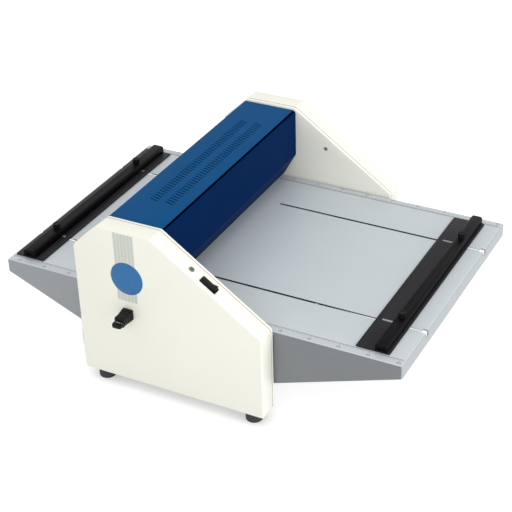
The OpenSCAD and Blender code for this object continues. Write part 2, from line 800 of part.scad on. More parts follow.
module drive_gear() {
    color("BurlyWood") place() difference() {
        union() {
            translate([crease_x, 0, shaft_z]) slab(gear_near, gear_far)
                polygon(gear_points(gear_teeth, gear_m));
            pin_y([crease_x, shaft_z], shaft_r + 6, gear_near - 4, gear_far + 2);
        }
        pin_y([crease_x, shaft_z], shaft_r, gear_near - 5, gear_far + 3);
        for (a = [0:60:300])
            translate([crease_x, 0, shaft_z]) rotate([0, a, 0])
                pin_y([(gear_m * gear_teeth / 2 + shaft_r) / 2 + 2, 0], 5, gear_near - 1, gear_far + 1);
    }
}

module motor_pinion() {
    color("Silver") place() {
        translate([motor_x, 0, shaft_z])
            rotate([0, 180 / pinion_teeth, 0])
                slab(gear_near - 1, gear_far + 1) polygon(gear_points(pinion_teeth, gear_m));
        pin_y([motor_x, shaft_z], 4, gear_near - 3, gearbox_near + 12);
    }
}

module gearbox() {
    color("Gray") place() difference() {
        union() {
            pin_y([motor_x, shaft_z], gearbox_r, gearbox_near, motor_near);
            pin_y([motor_x, shaft_z], 9, bracket_near, gearbox_near + 1);
        }
        pin_y([motor_x, shaft_z], 4 + run_gap, bracket_near - 1, gearbox_near + 14);
    }
}

module motor_body() {
    color("DimGray") place() {
        pin_y([motor_x, shaft_z], motor_r, motor_near, motor_near + motor_l - 12);
        pin_y([motor_x, shaft_z], motor_r - 4, motor_near + motor_l - 13, motor_near + motor_l);
        for (s = [-1, 1])
            pin_y([motor_x + s * (motor_r - 12), shaft_z], 4, motor_near + motor_l - 1,
                motor_near + motor_l + 4);
    }
}

module motor_bracket() {
    floor_z = foot_h + 2 + tray_t;
    color("DarkGray") place() difference() {
        union() {
            block([motor_x - gearbox_r - 2, bracket_near, floor_z],
                [motor_x + gearbox_r + 4, gearbox_near, shaft_z + gearbox_r + 2]);
            block([motor_x - gearbox_r - 2, bracket_near, floor_z],
                [motor_x + gearbox_r + 4, gearbox_near + 34, floor_z + 5]);
        }
        pin_y([motor_x, shaft_z], 9, bracket_near - 1, gearbox_near + 1);
    }
}

// ---- hood -----------------------------------------------------------------------------------------------

hood_path = [
    [hood_back, hood_z - hood_lip], [hood_back, hood_z], [hood_x, hood_z], [hood_x, lip_top],
    [hood_x - lip_in, lip_z]
];

module hood() {
    color("RoyalBlue") place() difference() {
        slab(-hood_y, hood_y) folded_sheet(hood_path, sheet_t, [0, hood_rear_r, hood_r, hood_r, 0]);
        for (i = [0:vents - 1], x = [hood_x - vent_front, hood_x - vent_rear])
            translate([x, (i - (vents - 1) / 2) * vent_pitch, hood_z - sheet_t / 2])
                rotate([0, 0, -vent_slant])
                    cube([vent_l, vent_w, sheet_t + 2], center = true);
    }
}

bracket_points = [-(side_gap / 2 - 45), -(side_gap / 6 - 10), side_gap / 6 - 10, side_gap / 2 - 45];

module hinge_brackets() {
    color("Silver") place() for (y = bracket_points) difference() {
        union() {
            block([rod_x - 2, y - bracket_l / 2, rod_z],
                [rod_x + 9, y + bracket_l / 2, hood_z - sheet_t]);
            pin_y([rod_x, rod_z], 6, y - bracket_l / 2, y + bracket_l / 2);
        }
        pin_y([rod_x, rod_z], rod_r + run_gap, y - bracket_l / 2 - 1, y + bracket_l / 2 + 1);
    }
}

module hinge_rod() color("Silver") place() pin_y([rod_x, rod_z], rod_r, -frame_out, frame_out);

module rear_panel() {
    color("SteelBlue") place() {
        block([panel_x, -frame_in, table_z + 29.5], [panel_x + 1.5, frame_in, rod_z - 15]);
        both() block([panel_x + 1, frame_in - 2, table_z + 34], [panel_x + 13, frame_in, rod_z - 19]);
    }
}

module cover_sensor() {
    color("DimGray") place() {
        block([hood_x - 25, frame_in - 12, lip_top + 12], [hood_x - 11, frame_in, lip_top + 30]);
        block([hood_x - 30, frame_in - 3, lip_top + 8], [hood_x - 22, frame_in, lip_top + 34]);
    }
}

module cover_magnet() {
    color("Silver") place()
        block([hood_x - sheet_t - 7, frame_in - 24, lip_top + 14],
            [hood_x - sheet_t, frame_in - 8, lip_top + 28]);
}

// ---- stops ----------------------------------------------------------------------------------------------

// the strip from x0 to x1; its short slots run from a to b
module strip(x0, x1, a, b) {
    difference() {
        block([x0, -stop_len / 2, strip_z], [x1, stop_len / 2, rail_z]);
        both() {
            block([a, slot_y - slot_w / 2, strip_z - 1], [b, slot_y + slot_w / 2, rail_z + 1]);
            pin_z(a, slot_y, slot_w / 2, strip_z - 1, rail_z + 1);
            pin_z(b, slot_y, slot_w / 2, strip_z - 1, rail_z + 1);
        }
    }
}

// the rail from x0 to x1, hollow underneath, drilled for its two clamp screws at x = sx
module rail(x0, x1, sx) {
    mid = (x0 + x1) / 2;
    difference() {
        slab(-stop_len / 2, stop_len / 2)
            rounded(box_points(x0, rail_z, x1, rail_high), [0, 0, rail_r, rail_r]);
        slab(-stop_len / 2 - 1, stop_len / 2 + 1)
            rounded(box_points(mid - rail_hollow_w / 2, rail_z - 1, mid + rail_hollow_w / 2,
                rail_z + rail_hollow_h),
                [0, 0, 1, 1]);
        both() pin_z(sx, slot_y, clamp_r + bolt_gap, rail_z, rail_high + 1);
    }
}

module t_nuts(x) {
    both() difference() {
        union() {
            block([x - 7, slot_y - 5, nut_top - nut_h], [x + 7, slot_y + 5, nut_top]);
            block([x - 5, slot_y - slot_w / 2 + slide_gap, nut_top - 1],
                [x + 5, slot_y + slot_w / 2 - slide_gap, strip_z]);
        }
        pin_z(x, slot_y, clamp_r + run_gap, nut_top - nut_h - 1, strip_z + 1);
    }
}

// a knurled clamp knob with its screw
module clamp_knob(x) {
    translate([x, slot_y, rail_high + slide_gap]) {
        linear_extrude(knob_h - 1) polygon(knurl_points(knob_r, 36, 0.5));
        translate([0, 0, knob_h - 1]) cylinder(h = 1, r = knob_r - 0.8);
    }
    pin_z(x, slot_y, clamp_r, nut_top - nut_h - 2, rail_high + 1);
}

module infeed_stop_strip() {
    color("Black") place()
        strip(infeed_strip_x, infeed_strip_x + strip_w, infeed_strip_x + 12, infeed_screw_x + 4);
}

module infeed_stop_rail() color("DimGray") place()
    rail(infeed_rail_x, infeed_rail_x + infeed_rail_w, infeed_screw_x);

module outfeed_stop_strip() {
    color("Black") place()
        strip(outfeed_strip_x - strip_w + 0.9, outfeed_strip_x, outfeed_screw_x - 4, outfeed_strip_x - 12);
}

module outfeed_stop_rail()
    color("DimGray") place() rail(outfeed_rail_x - outfeed_rail_w, outfeed_rail_x, outfeed_screw_x);

module infeed_t_nuts() color("Silver") place() t_nuts(infeed_screw_x);
module outfeed_t_nuts() color("Silver") place() t_nuts(outfeed_screw_x);
module infeed_knob_near() color("Black") place() near() clamp_knob(infeed_screw_x);
module infeed_knob_far() color("Black") place() clamp_knob(infeed_screw_x);
module outfeed_knob_near() color("Black") place() near() clamp_knob(outfeed_screw_x);
module outfeed_knob_far() color("Black") place() clamp_knob(outfeed_screw_x);

// ---- controls -------------------------------------------------------------------------------------------

module selector_knob() {
    half = selector_w / 2;
    base_y = -side_out - slide_gap;
    color("Black") place() translate([crease_x - selector_back, 0, selector_z]) {
        slab(base_y - 8, base_y) rounded(box_points(-half, -half, half, half), 2);
        slab(base_y - 16, base_y - 8)
            rounded(box_points(-half + 0.7, -half + 0.7, half - 0.7, half - 0.7), 2);
        slab(base_y - 29, base_y - 16) rounded(box_points(-half + 1, -half + 1, half - 1, half - 1), 2.5);
        translate([0, 0, -grip_drop - grip_h / 2]) linear_extrude(grip_h)
            rounded(box_points(-half + 1, -side_out - selector_out, half - 1, base_y - 28), [4, 4, 0, 0]);
        pin_y([0, 0], 3, base_y - 1, base_y + cover_wall + 10);
    }
}

module selector_switch() {
    color("DimGray") place() translate([crease_x - selector_back, 0, selector_z]) difference() {
        slab(-side_out + cover_wall, -side_out + cover_wall + 14)
            rounded(box_points(-13, -13, 13, 13), 2);
        pin_y([0, 0], 3 + run_gap, -side_out, -side_out + cover_wall + 11);
    }
}

// the space a rocker switch takes below the side's skin, grown by gap; it starts depth below the skin
module rocker_body(gap, depth) {
    translate([-rocker_l / 2 + 0.9 - gap, -rocker_w / 2 + 0.7 - gap, depth])
        cube([rocker_l - 1.8 + 2 * gap, rocker_w - 1.4 + 2 * gap, 10 - depth]);
}

module switch_housing() {
    color("Black") place() on_slope(rocker_at, switch_y) difference() {
        union() {
            translate([-rocker_l / 2, -rocker_w / 2, 0]) cube([rocker_l, rocker_w, bezel_t]);
            intersection() {
                rocker_body(0, -22);
                translate([0, 0, -20]) cube([60, 60, 40 + 2], center = true);
            }
        }
        translate([-rocker_l / 2 + 1.9, -rocker_w / 2 + 1.9, -14])
            cube([rocker_l - 3.8, rocker_w - 3.8, 30]);
    }
}

module power_rocker() {
    reach = rocker_l / 2 - 1.9 - slide_gap;
    width = rocker_w - 3.8 - 2 * slide_gap;
    rise = reach * tan(rocker_swing / 2);
    color("Black") place() on_slope(rocker_at, switch_y)
        translate([0, 0, bezel_t - 3]) rotate([0, -rocker_swing / 2, 0]) intersection() {
            slab(-width / 2, width / 2) polygon([
                [-reach - 1, 3 + rise], [0, 3], [reach + 1, 3 + rise], [reach + 1, 0], [6, -7], [-6, -7],
                [-reach - 1, 0]
            ]);
            pin_y([0, 0], reach, -width, width);
        }
}

module pilot_lamp() {
    color("LimeGreen") place() on_slope(lamp_at, switch_y) {
        cylinder(h = bezel_t, r = lamp_r);
        translate([0, 0, -lamp_l]) cylinder(h = lamp_l + 1, r = lamp_r - 1);
        translate([0, 0, bezel_t - 0.5]) cylinder(h = 1.5, r = lamp_r - 1);
    }
}

module badge_disc() color("SteelBlue") place()
    pin_y([crease_x, badge_z], badge_r, -side_out - badge_t, -side_out);

module control_board() {
    x0 = 20;
    z0 = 68;
    far = -frame_out - 7;
    near = far - 1.6;
    color("DarkGreen") place() {
        block([x0, near, z0], [x0 + board_l, far, z0 + board_h]);
        for (x = [x0 + 5, x0 + board_l - 5], z = [z0 + 5, z0 + board_h - 5])
            pin_y([x, z], 3, far, -frame_out);
        block([x0 + 10, near - 16, z0 + 12], [x0 + 40, near, z0 + 38]);
        block([x0 + 50, near - 12, z0 + 10], [x0 + 62, near, z0 + 40]);
        pin_y([x0 + 76, z0 + 24], 6, near - 15, near);
        for (k = [0:5])
            block([x0 + 12 + 9 * k, near - 9, z0 + board_h - 12], [x0 + 20 + 9 * k, near, z0 + board_h - 2]);
    }
}

module mains_inlet() {
    y = switch_y;
    color("Black") place() {
        difference() {
            union() {
                block([rear_x - bezel_t, y - 12, inlet_z - 15.5], [rear_x, y + 12, inlet_z + 15.5]);
                block([rear_x - 1, y - 10, inlet_z - 13.5], [rear_x + 22, y + 10, inlet_z + 13.5]);
            }
            block([rear_x - 3, y - 8.2, inlet_z - 12], [rear_x + 14, y + 8.2, inlet_z + 12]);
        }
        for (p = [[3.5, 0], [-3.5, 7], [-3.5, -7]])
            block([rear_x, y + p.x - 1, inlet_z + p.y - 2], [rear_x + 15, y + p.x + 1, inlet_z + p.y + 2]);
    }
}

module pedal_socket() {
    color("Black") place() {
        pin_x(switch_y, pedal_z, 10, rear_x - bezel_t, rear_x);
        pin_x(switch_y, pedal_z, 8, rear_x - 1, rear_x + 18);
        pin_x(switch_y, pedal_z, 7, rear_x - bezel_t - 4, rear_x - 1);
    }
}

side_frame_near();
side_frame_far();
base_plate();
tie_bars();
side_cover_near();
side_cover_far();
cover_screws();
rubber_feet();
infeed_table();
outfeed_table();
infeed_rulers();
outfeed_rulers();
table_screws();
lower_beam();
crease_matrix();
beam_bolts();
upper_beam();
blade_holder();
crease_blade();
holder_screws();
ejector_rubbers();
lift_plate_near();
lift_plate_far();
lift_screws();
guide_gibs();
eccentric_shaft();
eccentric_near();
eccentric_far();
shaft_bushes();
retaining_rings();
drive_gear();
motor_pinion();
motor_body();
gearbox();
motor_bracket();
hood();
rear_panel();
hinge_rod();
hinge_brackets();
cover_sensor();
cover_magnet();
infeed_stop_strip();
infeed_stop_rail();
outfeed_stop_strip();
outfeed_stop_rail();
infeed_t_nuts();
outfeed_t_nuts();
infeed_knob_near();
infeed_knob_far();
outfeed_knob_near();
outfeed_knob_far();
selector_knob();
selector_switch();
power_rocker();
switch_housing();
pilot_lamp();
badge_disc();
control_board();
mains_inlet();
pedal_socket();
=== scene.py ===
"""Looks of a desktop paper creasing machine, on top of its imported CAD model.

Two house-shaped sides carry a folded blue hood over the crease head. A long front table and a shorter rear
table lie between them, each with a black stop that slides along two slots. Sizes are in millimetres in the
machine's own axes: +X runs along the paper path to the long table and +Z is up. x = 0 is the middle of the
sides, y = 0 the middle of the machine and z = 0 the desk. A finished piece is moved into the frame's metres.
"""

import logging
import math
from collections.abc import Callable, Iterable, Sequence
from dataclasses import dataclass
from enum import Enum

import bmesh
import bpy
from mathutils import Matrix, Vector


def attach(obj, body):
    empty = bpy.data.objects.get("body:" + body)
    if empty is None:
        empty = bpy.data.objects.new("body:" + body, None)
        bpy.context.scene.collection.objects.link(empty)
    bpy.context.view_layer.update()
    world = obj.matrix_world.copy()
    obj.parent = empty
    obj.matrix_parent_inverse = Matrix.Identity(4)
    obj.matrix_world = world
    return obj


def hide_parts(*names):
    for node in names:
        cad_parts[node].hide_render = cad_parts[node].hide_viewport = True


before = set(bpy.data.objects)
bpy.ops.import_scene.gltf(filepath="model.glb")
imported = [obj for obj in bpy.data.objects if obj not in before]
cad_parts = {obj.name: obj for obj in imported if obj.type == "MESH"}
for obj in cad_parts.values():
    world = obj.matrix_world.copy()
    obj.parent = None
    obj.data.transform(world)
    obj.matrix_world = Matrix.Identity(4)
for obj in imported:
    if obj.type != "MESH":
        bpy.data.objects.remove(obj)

LOG = logging.getLogger("creaser")
TO_METRES = 0.001
MIDDLE = Vector((22.4, -20.0, 0.0))  # the frame's origin in the machine's own axes, in mm
CLOSE = 0.01  # lengths that differ by less than this, in mm, count as the same
MERGE = 0.001  # points nearer to each other than this, in mm, become one

Point2 = tuple[float, float]
Point3 = tuple[float, float, float]
EdgeTest = Callable[[bmesh.types.BMEdge], bool]
FaceTest = Callable[[bmesh.types.BMFace], bool]


class Axis(Enum):
    """A direction of the machine's own axes."""

    X = 0
    Y = 1
    Z = 2

    def place(self, a: float, b: float, along: float) -> Vector:
        """Puts a flat point at a height along this axis.

        Args:
            a: First coordinate of the flat point.
            b: Second coordinate of the flat point.
            along: Height along the axis.

        Returns:
            The point in space.
        """
        return Vector({Axis.X: (along, a, b), Axis.Y: (a, along, b), Axis.Z: (a, b, along)}[self])

    @property
    def vector(self) -> Vector:
        """The axis as a unit vector."""
        return self.place(0, 0, 1)


class Side(Enum):
    """Which of the two sides a mirrored piece belongs to."""

    NEAR = -1
    FAR = 1

    @property
    def label(self) -> str:
        """The side's name as pieces and nodes carry it."""
        return self.name.lower()

    def span(self, inner: float, outer: float) -> tuple[float, float]:
        """Gives two distances from the middle as Y values on this side, the lower one first."""
        low, high = sorted((self.value * inner, self.value * outer))
        return low, high


# ---- finishes -------------------------------------------------------------------------------------------


def linear(colour: str) -> tuple[float, float, float, float]:
    """Turns a hex colour as seen on a screen into the renderer's linear values.

    Args:
        colour: An sRGB colour as #RRGGBB.

    Returns:
        Linear red, green and blue, with an alpha of 1.
    """
    parts = [int(colour[i : i + 2], 16) / 255 for i in (1, 3, 5)]
    r, g, b = (c / 12.92 if c <= 0.04045 else ((c + 0.055) / 1.055) ** 2.4 for c in parts)
    return (r, g, b, 1.0)


def add_node(
    tree: bpy.types.NodeTree, kind: str, settings: dict | None = None, links: dict | None = None
) -> bpy.types.Node:
    """Adds a shader node with its settings and incoming links.

    Args:
        tree: The node tree that gets the node.
        kind: The node's type, without its ShaderNode prefix.
        settings: Values by the name of a property, or by the name or number of an input.
        links: Output sockets by the name or number of the input that they feed.

    Returns:
        The new node.
    """
    node = tree.nodes.new(f"ShaderNode{kind}")
    for key, value in (settings or {}).items():
        if isinstance(key, int) or key in node.inputs:
            node.inputs[key].default_value = value
        else:
            setattr(node, key, value)
    for key, socket in (links or {}).items():
        tree.links.new(socket, node.inputs[key])
    return node


@dataclass(frozen=True)
class Finish:
    """A surface finish with two close tones, a grain and a relief, worked out from sizes in millimetres.

    Attributes:
        name: What the surface is made of and how.
        slot: The record's material slot. Not used.
        colour: The main colour.
        tone: The colour of its slightly different patches.
        roughness: How dull the surface is.
        metallic: 1 for bare metal.
        patch: Size of the colour patches in mm.
        grain: Size of the surface's grain in mm.
        relief: Height of the grain in mm.
        stretch: How far the grain is drawn out along each axis.
        coat: Weight of a clear layer on top.
        uneven: How far the roughness varies.
        specular: Strength of the surface's own reflection; 0.5 is that of plain plastic or paint.
    """

    name: str
    slot: str
    colour: str
    tone: str
    roughness: float
    metallic: float = 0.0
    patch: float = 60.0
    grain: float = 1.2
    relief: float = 0.02
    stretch: Point3 = (1.0, 1.0, 1.0)
    coat: float = 0.0
    uneven: float = 0.06
    specular: float = 0.5

    def material(self) -> bpy.types.Material:
        """The finish as a material, made once."""
        return bpy.data.materials.get(self.name) or self.build()

    def build(self) -> bpy.types.Material:
        """Makes the material's nodes.

        Returns:
            The new material.
        """
        made = bpy.data.materials.new(self.name)
        made.use_nodes = True
        tree = made.node_tree
        tree.nodes.clear()
        grain, patch = self.pattern(tree)
        tint = add_node(
            tree, "Mix", {"data_type": "RGBA", 6: linear(self.colour), 7: linear(self.tone)}, {0: patch}
        )
        spread = {"To Min": max(self.roughness - self.uneven, 0.02), "To Max": self.roughness + self.uneven}
        dull = add_node(tree, "MapRange", spread, {"Value": grain})
        bump = add_node(
            tree, "Bump", {"Strength": 1.0, "Distance": self.relief * TO_METRES}, {"Height": grain}
        )
        shader = add_node(
            tree,
            "BsdfPrincipled",
            {
                "Metallic": self.metallic, "Coat Weight": self.coat, "Coat Roughness": 0.12,
                "Specular IOR Level": self.specular,
            },
            {"Base Color": tint.outputs[2], "Roughness": dull.outputs[0], "Normal": bump.outputs[0]},
        )
        self.extra(tree, shader)
        add_node(tree, "OutputMaterial", None, {"Surface": shader.outputs[0]})
        return made

    def pattern(self, tree: bpy.types.NodeTree) -> tuple[bpy.types.NodeSocket, bpy.types.NodeSocket]:
        """Makes the noise of the grain and of the tone patches.

        Args:
            tree: The material's node tree.

        Returns:
            The grain's socket and the patches' socket.
        """
        place = add_node(tree, "TexCoord").outputs["Object"]
        drawn = {"Scale": tuple(1 / s for s in self.stretch)}
        turned = add_node(tree, "Mapping", drawn, {"Vector": place}).outputs[0]
        fine = {"Scale": 1 / (self.grain * TO_METRES), "Detail": 2.0, "Roughness": 0.5}
        wide = {"Scale": 1 / (self.patch * TO_METRES), "Detail": 3.0, "Roughness": 0.6}
        grain = add_node(tree, "TexNoise", fine, {"Vector": turned}).outputs[0]
        patch = add_node(tree, "TexNoise", wide, {"Vector": place}).outputs[0]
        return grain, patch

    def extra(self, tree: bpy.types.NodeTree, shader: bpy.types.Node) -> None:
        """Adds nothing; a special finish overrides this."""


@dataclass(frozen=True)
class Cells(Finish):
    """A finish with a pebbled skin, as moulded plastic and rubber have from the etched mould."""

    def pattern(self, tree: bpy.types.NodeTree) -> tuple[bpy.types.NodeSocket, bpy.types.NodeSocket]:
        """Makes the pebbles of the skin and its tone patches.

        Args:
            tree: The material's node tree.

        Returns:
            The pebbles' socket and the patches' socket.
        """
        place = add_node(tree, "TexCoord").outputs["Object"]
        fine = {"feature": "SMOOTH_F1", "Scale": 1 / (self.grain * TO_METRES), "Smoothness": 0.6}
        wide = {"Scale": 1 / (self.patch * TO_METRES), "Detail": 3.0}
        grain = add_node(tree, "TexVoronoi", fine, {"Vector": place}).outputs[0]
        patch = add_node(tree, "TexNoise", wide, {"Vector": place}).outputs[0]
        return grain, patch


@dataclass(frozen=True)
class Tinted(Finish):
    """A clear tinted plastic, lit a little from within."""

    def extra(self, tree: bpy.types.NodeTree, shader: bpy.types.Node) -> None:
        """Lets light into the plastic.

        Args:
            tree: The material's node tree.
            shader: The surface shader.
        """
        shader.inputs["Subsurface Weight"].default_value = 0.3
        shader.inputs["Subsurface Radius"].default_value = (0.001, 0.003, 0.001)
        shader.inputs["IOR"].default_value = 1.49


# Grain and relief in mm of the surfaces that several finishes share.
POWDER = {"grain": 1.6, "relief": 0.012}  # the orange peel of a fine powder coat, which breaks up highlights
BLUE_POWDER = {"grain": 1.8, "relief": 0.015}
DRAWN = {"grain": 0.9, "relief": 0.006, "stretch": (1, 25, 1)}  # faint drawing lines along an extrusion

# Polyester powder coat on sheet metal: satin, with an orange peel of about 2 mm on the cream sides.
CREAM = Finish("cream_powder_coat", "cream_paint", "#ECECE1", "#E8E8DC", 0.42, grain=2.0, relief=0.012)
TABLE_COAT = Finish("pale_grey_powder_coat", "table_paint", "#C0C7CB", "#BBC2C6", 0.4, **POWDER)
# Painted shade: the folds and the underside are drawn darker than the table's face, those of the rear table
# less dark.
# The front table's folds are darker still, as a painted shadow of the near cover.
FOLD_SHADE = Finish("table_fold_painted_shade", "table_paint", "#75797C", "#707578", 0.45, **POWDER)
REAR_FOLD_SHADE = Finish("rear_table_fold_painted_shade", "table_paint", "#929699", "#8D9194", 0.45, **POWDER)
# Painted shade: the outer end's fold is drawn darker than the table's face.
END_FOLD_SHADE = Finish("end_fold_painted_shade", "table_paint", "#9CA1A4", "#979C9F", 0.42, **POWDER)
# Painted shade: the slots' walls are drawn nearly black short of the outer end, for the shade under the
# table seen through the slots.
SLOT_WALL_SHADE = Finish("slot_wall_painted_shade", "table_paint", "#0B0C0D", "#101112", 0.6, grain=1.0, specular=0.05)
# Painted shade in the narrow seams between plate and cover: they are drawn browner than the open faces.
PLATE_SEAM_SHADE = Finish("plate_seam_painted_shade", "cream_paint", "#BDB2A4", "#B6AA9B", 0.6, grain=1.2, relief=0.012)
# Painted highlight: the strip's slot walls are drawn as bright bare metal, for the light that shows through
# the slots.
SLOT_WALL_HIGHLIGHT = Finish("slot_wall_painted_highlight", "black_anodised", "#C9CACC", "#BCBDC0", 0.4, 1.0, grain=0.5)
# The hood's coat hardly shines. Its front is drawn a deeper blue than its top as painted shade, parted by a
# dark seam.
HOOD_COAT = Finish("blue_powder_coat", "hood_paint", "#034B7E", "#024677", 0.4, specular=0.03, **BLUE_POWDER)
HOOD_FRONT_SHADE = Finish(
    "hood_front_painted_shade", "hood_paint", "#00214B", "#001E46", 0.42, specular=0.01, **BLUE_POWDER
)
# A coarser powder coat on the heavy beams: dull dark grey with a soft orange peel.
BEAM_COAT = Finish("dark_grey_powder_coat", "beam_steel", "#5C6166", "#555A5F", 0.45, grain=1.8, relief=0.02)
# Stove enamel on the motor's can: black, with enough shine to show its cooling grooves.
MOTOR_COAT = Finish("black_stove_enamel", "motor_paint", "#26282A", "#222426", 0.35, grain=2.5, relief=0.02)
# Black anodised extrusion: charcoal strips and nearly black rails.
ANODISED = Finish(
    "black_anodised_aluminium", "black_anodised", "#232226", "#1F1E22", 0.45, specular=0.12, **DRAWN
)
DEEP_ANODISED = Finish(
    "deep_black_anodised_aluminium", "black_anodised", "#0E0D10", "#0C0C0E", 0.42, specular=0.06, **DRAWN
)
# Zinc plate: bright, faintly cloudy. The grain is coarser than real crystals, which would not show.
ZINC = Finish("zinc_plated_steel", "bright_steel", "#B5B8BA", "#A9ABAB", 0.32, 1.0, patch=14, grain=1.5)
# Ground steel: parallel grinding marks across the blade, drawn 0.4 mm apart so that they show.
GROUND = Finish(
    "ground_tool_steel", "blade_steel", "#C3C6C9", "#B4B8BC", 0.24, 1.0, patch=30, grain=0.4, relief=0.004,
    stretch=(1, 1, 20),
)
# Gear steel as the hob leaves it: darker and duller than the ground steel.
HOBBED = Finish(
    "hobbed_steel", "gear_steel", "#86878A", "#77787B", 0.36, 1.0, patch=18, grain=0.6, relief=0.01
)
# Cast and turned bearing bronze: warm yellow-brown with a soft shine.
BRONZE = Finish("cast_bearing_bronze", "bronze", "#B8904E", "#A57E42", 0.36, 1.0, patch=12, grain=0.8)
# Die-cast alloy: grey, slightly grainy from the mould release.
CAST_ALLOY = Finish(
    "die_cast_alloy", "alloy", "#A9ABAD", "#9D9FA1", 0.48, 1.0, patch=20, grain=1.0, relief=0.03
)
# Spark-eroded ABS: matt black with a skin of 0.7 mm pebbles, drawn twice their real size.
BLACK_ABS = Cells(
    "textured_black_abs", "black_plastic", "#131314", "#101011", 0.46, grain=0.7, relief=0.03, specular=0.15
)
# Polished ABS: smoother than the housings, so its edges catch more light.
GLOSS_ABS = Cells(
    "polished_black_abs", "black_plastic", "#101011", "#0E0E0F", 0.3, grain=0.7, relief=0.004, specular=0.15
)
# Moulded rubber: dull black with almost no highlight.
RUBBER = Cells(
    "black_rubber", "black_rubber", "#0D0D0F", "#121213", 0.7, grain=1.0, relief=0.05, specular=0.1
)
# Painted shade: the strip in the hood's seam is drawn nearly black, for the shade in the narrow gap.
HOOD_SEAM_SHADE = Cells(
    "hood_seam_painted_shade", "hood_paint", "#030510", "#02040C", 0.8, grain=1.0, relief=0.02, specular=0.0
)
# Brass with a nickel plate: the inlet's pins show as small bright points.
BRASS_PLATE = Finish(
    "nickel_plated_brass", "black_plastic", "#C9C6BC", "#BDB9AE", 0.3, 1.0, patch=4, grain=0.5
)
# Solder mask over glass laminate: dark green and fairly smooth.
FR4 = Finish("green_solder_mask", "board_green", "#15502F", "#124729", 0.35, patch=8, grain=1.5, relief=0.01)
# Moulded tinted polycarbonate: a dim green that lets some light through.
LENS = Tinted("green_polycarbonate", "lamp_green", "#466334", "#3F5A2E", 0.2, patch=3, grain=1.0, coat=0.2)
# Moulded grey ABS: a plain mid grey with hardly any grain.
GREY_ABS = Cells("grey_abs", "black_plastic", "#8E9290", "#868A88", 0.4, grain=0.7, relief=0.01)
# Glossy enamel: an even mid blue under a thin clear layer.
ENAMEL = Finish(
    "blue_glossy_enamel", "badge_blue", "#2369A2", "#1F649B", 0.26, patch=9, grain=2.5, coat=0.1,
    specular=0.25,
)
# Polyester film stuck along the tables' edges: a grey close to the table's own.
FILM = Finish(
    "pale_printed_film", "ruler_film", "#BCC1C5", "#B7BCC0", 0.4, patch=30, grain=1.0, relief=0.005
)
# Matt screen ink: dark ticks and figures that stay readable on the film.
BLACK_INK = Finish(
    "black_screen_ink", "ruler_film", "#2C3136", "#34393E", 0.55, patch=4, grain=0.6, relief=0.003
)
# The same kind of ink on the cover: a light grey band that stands off the cream a little.
GREY_INK = Finish(
    "grey_screen_ink", "cream_paint", "#C4C8C1", "#BFC3BC", 0.45, patch=9, grain=1.0, relief=0.006
)
# A nearly white line and dot on the black knob's grip.
PALE_GRIP_LINE = Finish("pale_grip_line", "black_plastic", "#DCDDDA", "#CFD0CD", 0.5, patch=3, grain=0.5)
# Moulded switch marks: the rocker's own plastic, a little paler where the raised marks are rubbed.
RUBBED_ABS = Finish(
    "rubbed_black_plastic", "black_plastic", "#2E2E2F", "#262627", 0.5, grain=0.5, specular=0.15
)


# ---- shapes ---------------------------------------------------------------------------------------------


def along(axis: Axis) -> EdgeTest:
    """A test for edges that run along an axis."""
    return lambda e: abs((e.verts[1].co - e.verts[0].co).normalized()[axis.value]) > 0.999


def level(axis: Axis, height: float) -> EdgeTest:
    """A test for edges whose two ends lie at one height of an axis."""
    return lambda e: all(abs(v.co[axis.value] - height) < CLOSE for v in e.verts)


def both(*tests: EdgeTest) -> EdgeTest:
    """A test that passes where all of several do."""
    return lambda e: all(test(e) for test in tests)


def either(*tests: EdgeTest) -> EdgeTest:
    """A test that passes where any of several does."""
    return lambda e: any(test(e) for test in tests)


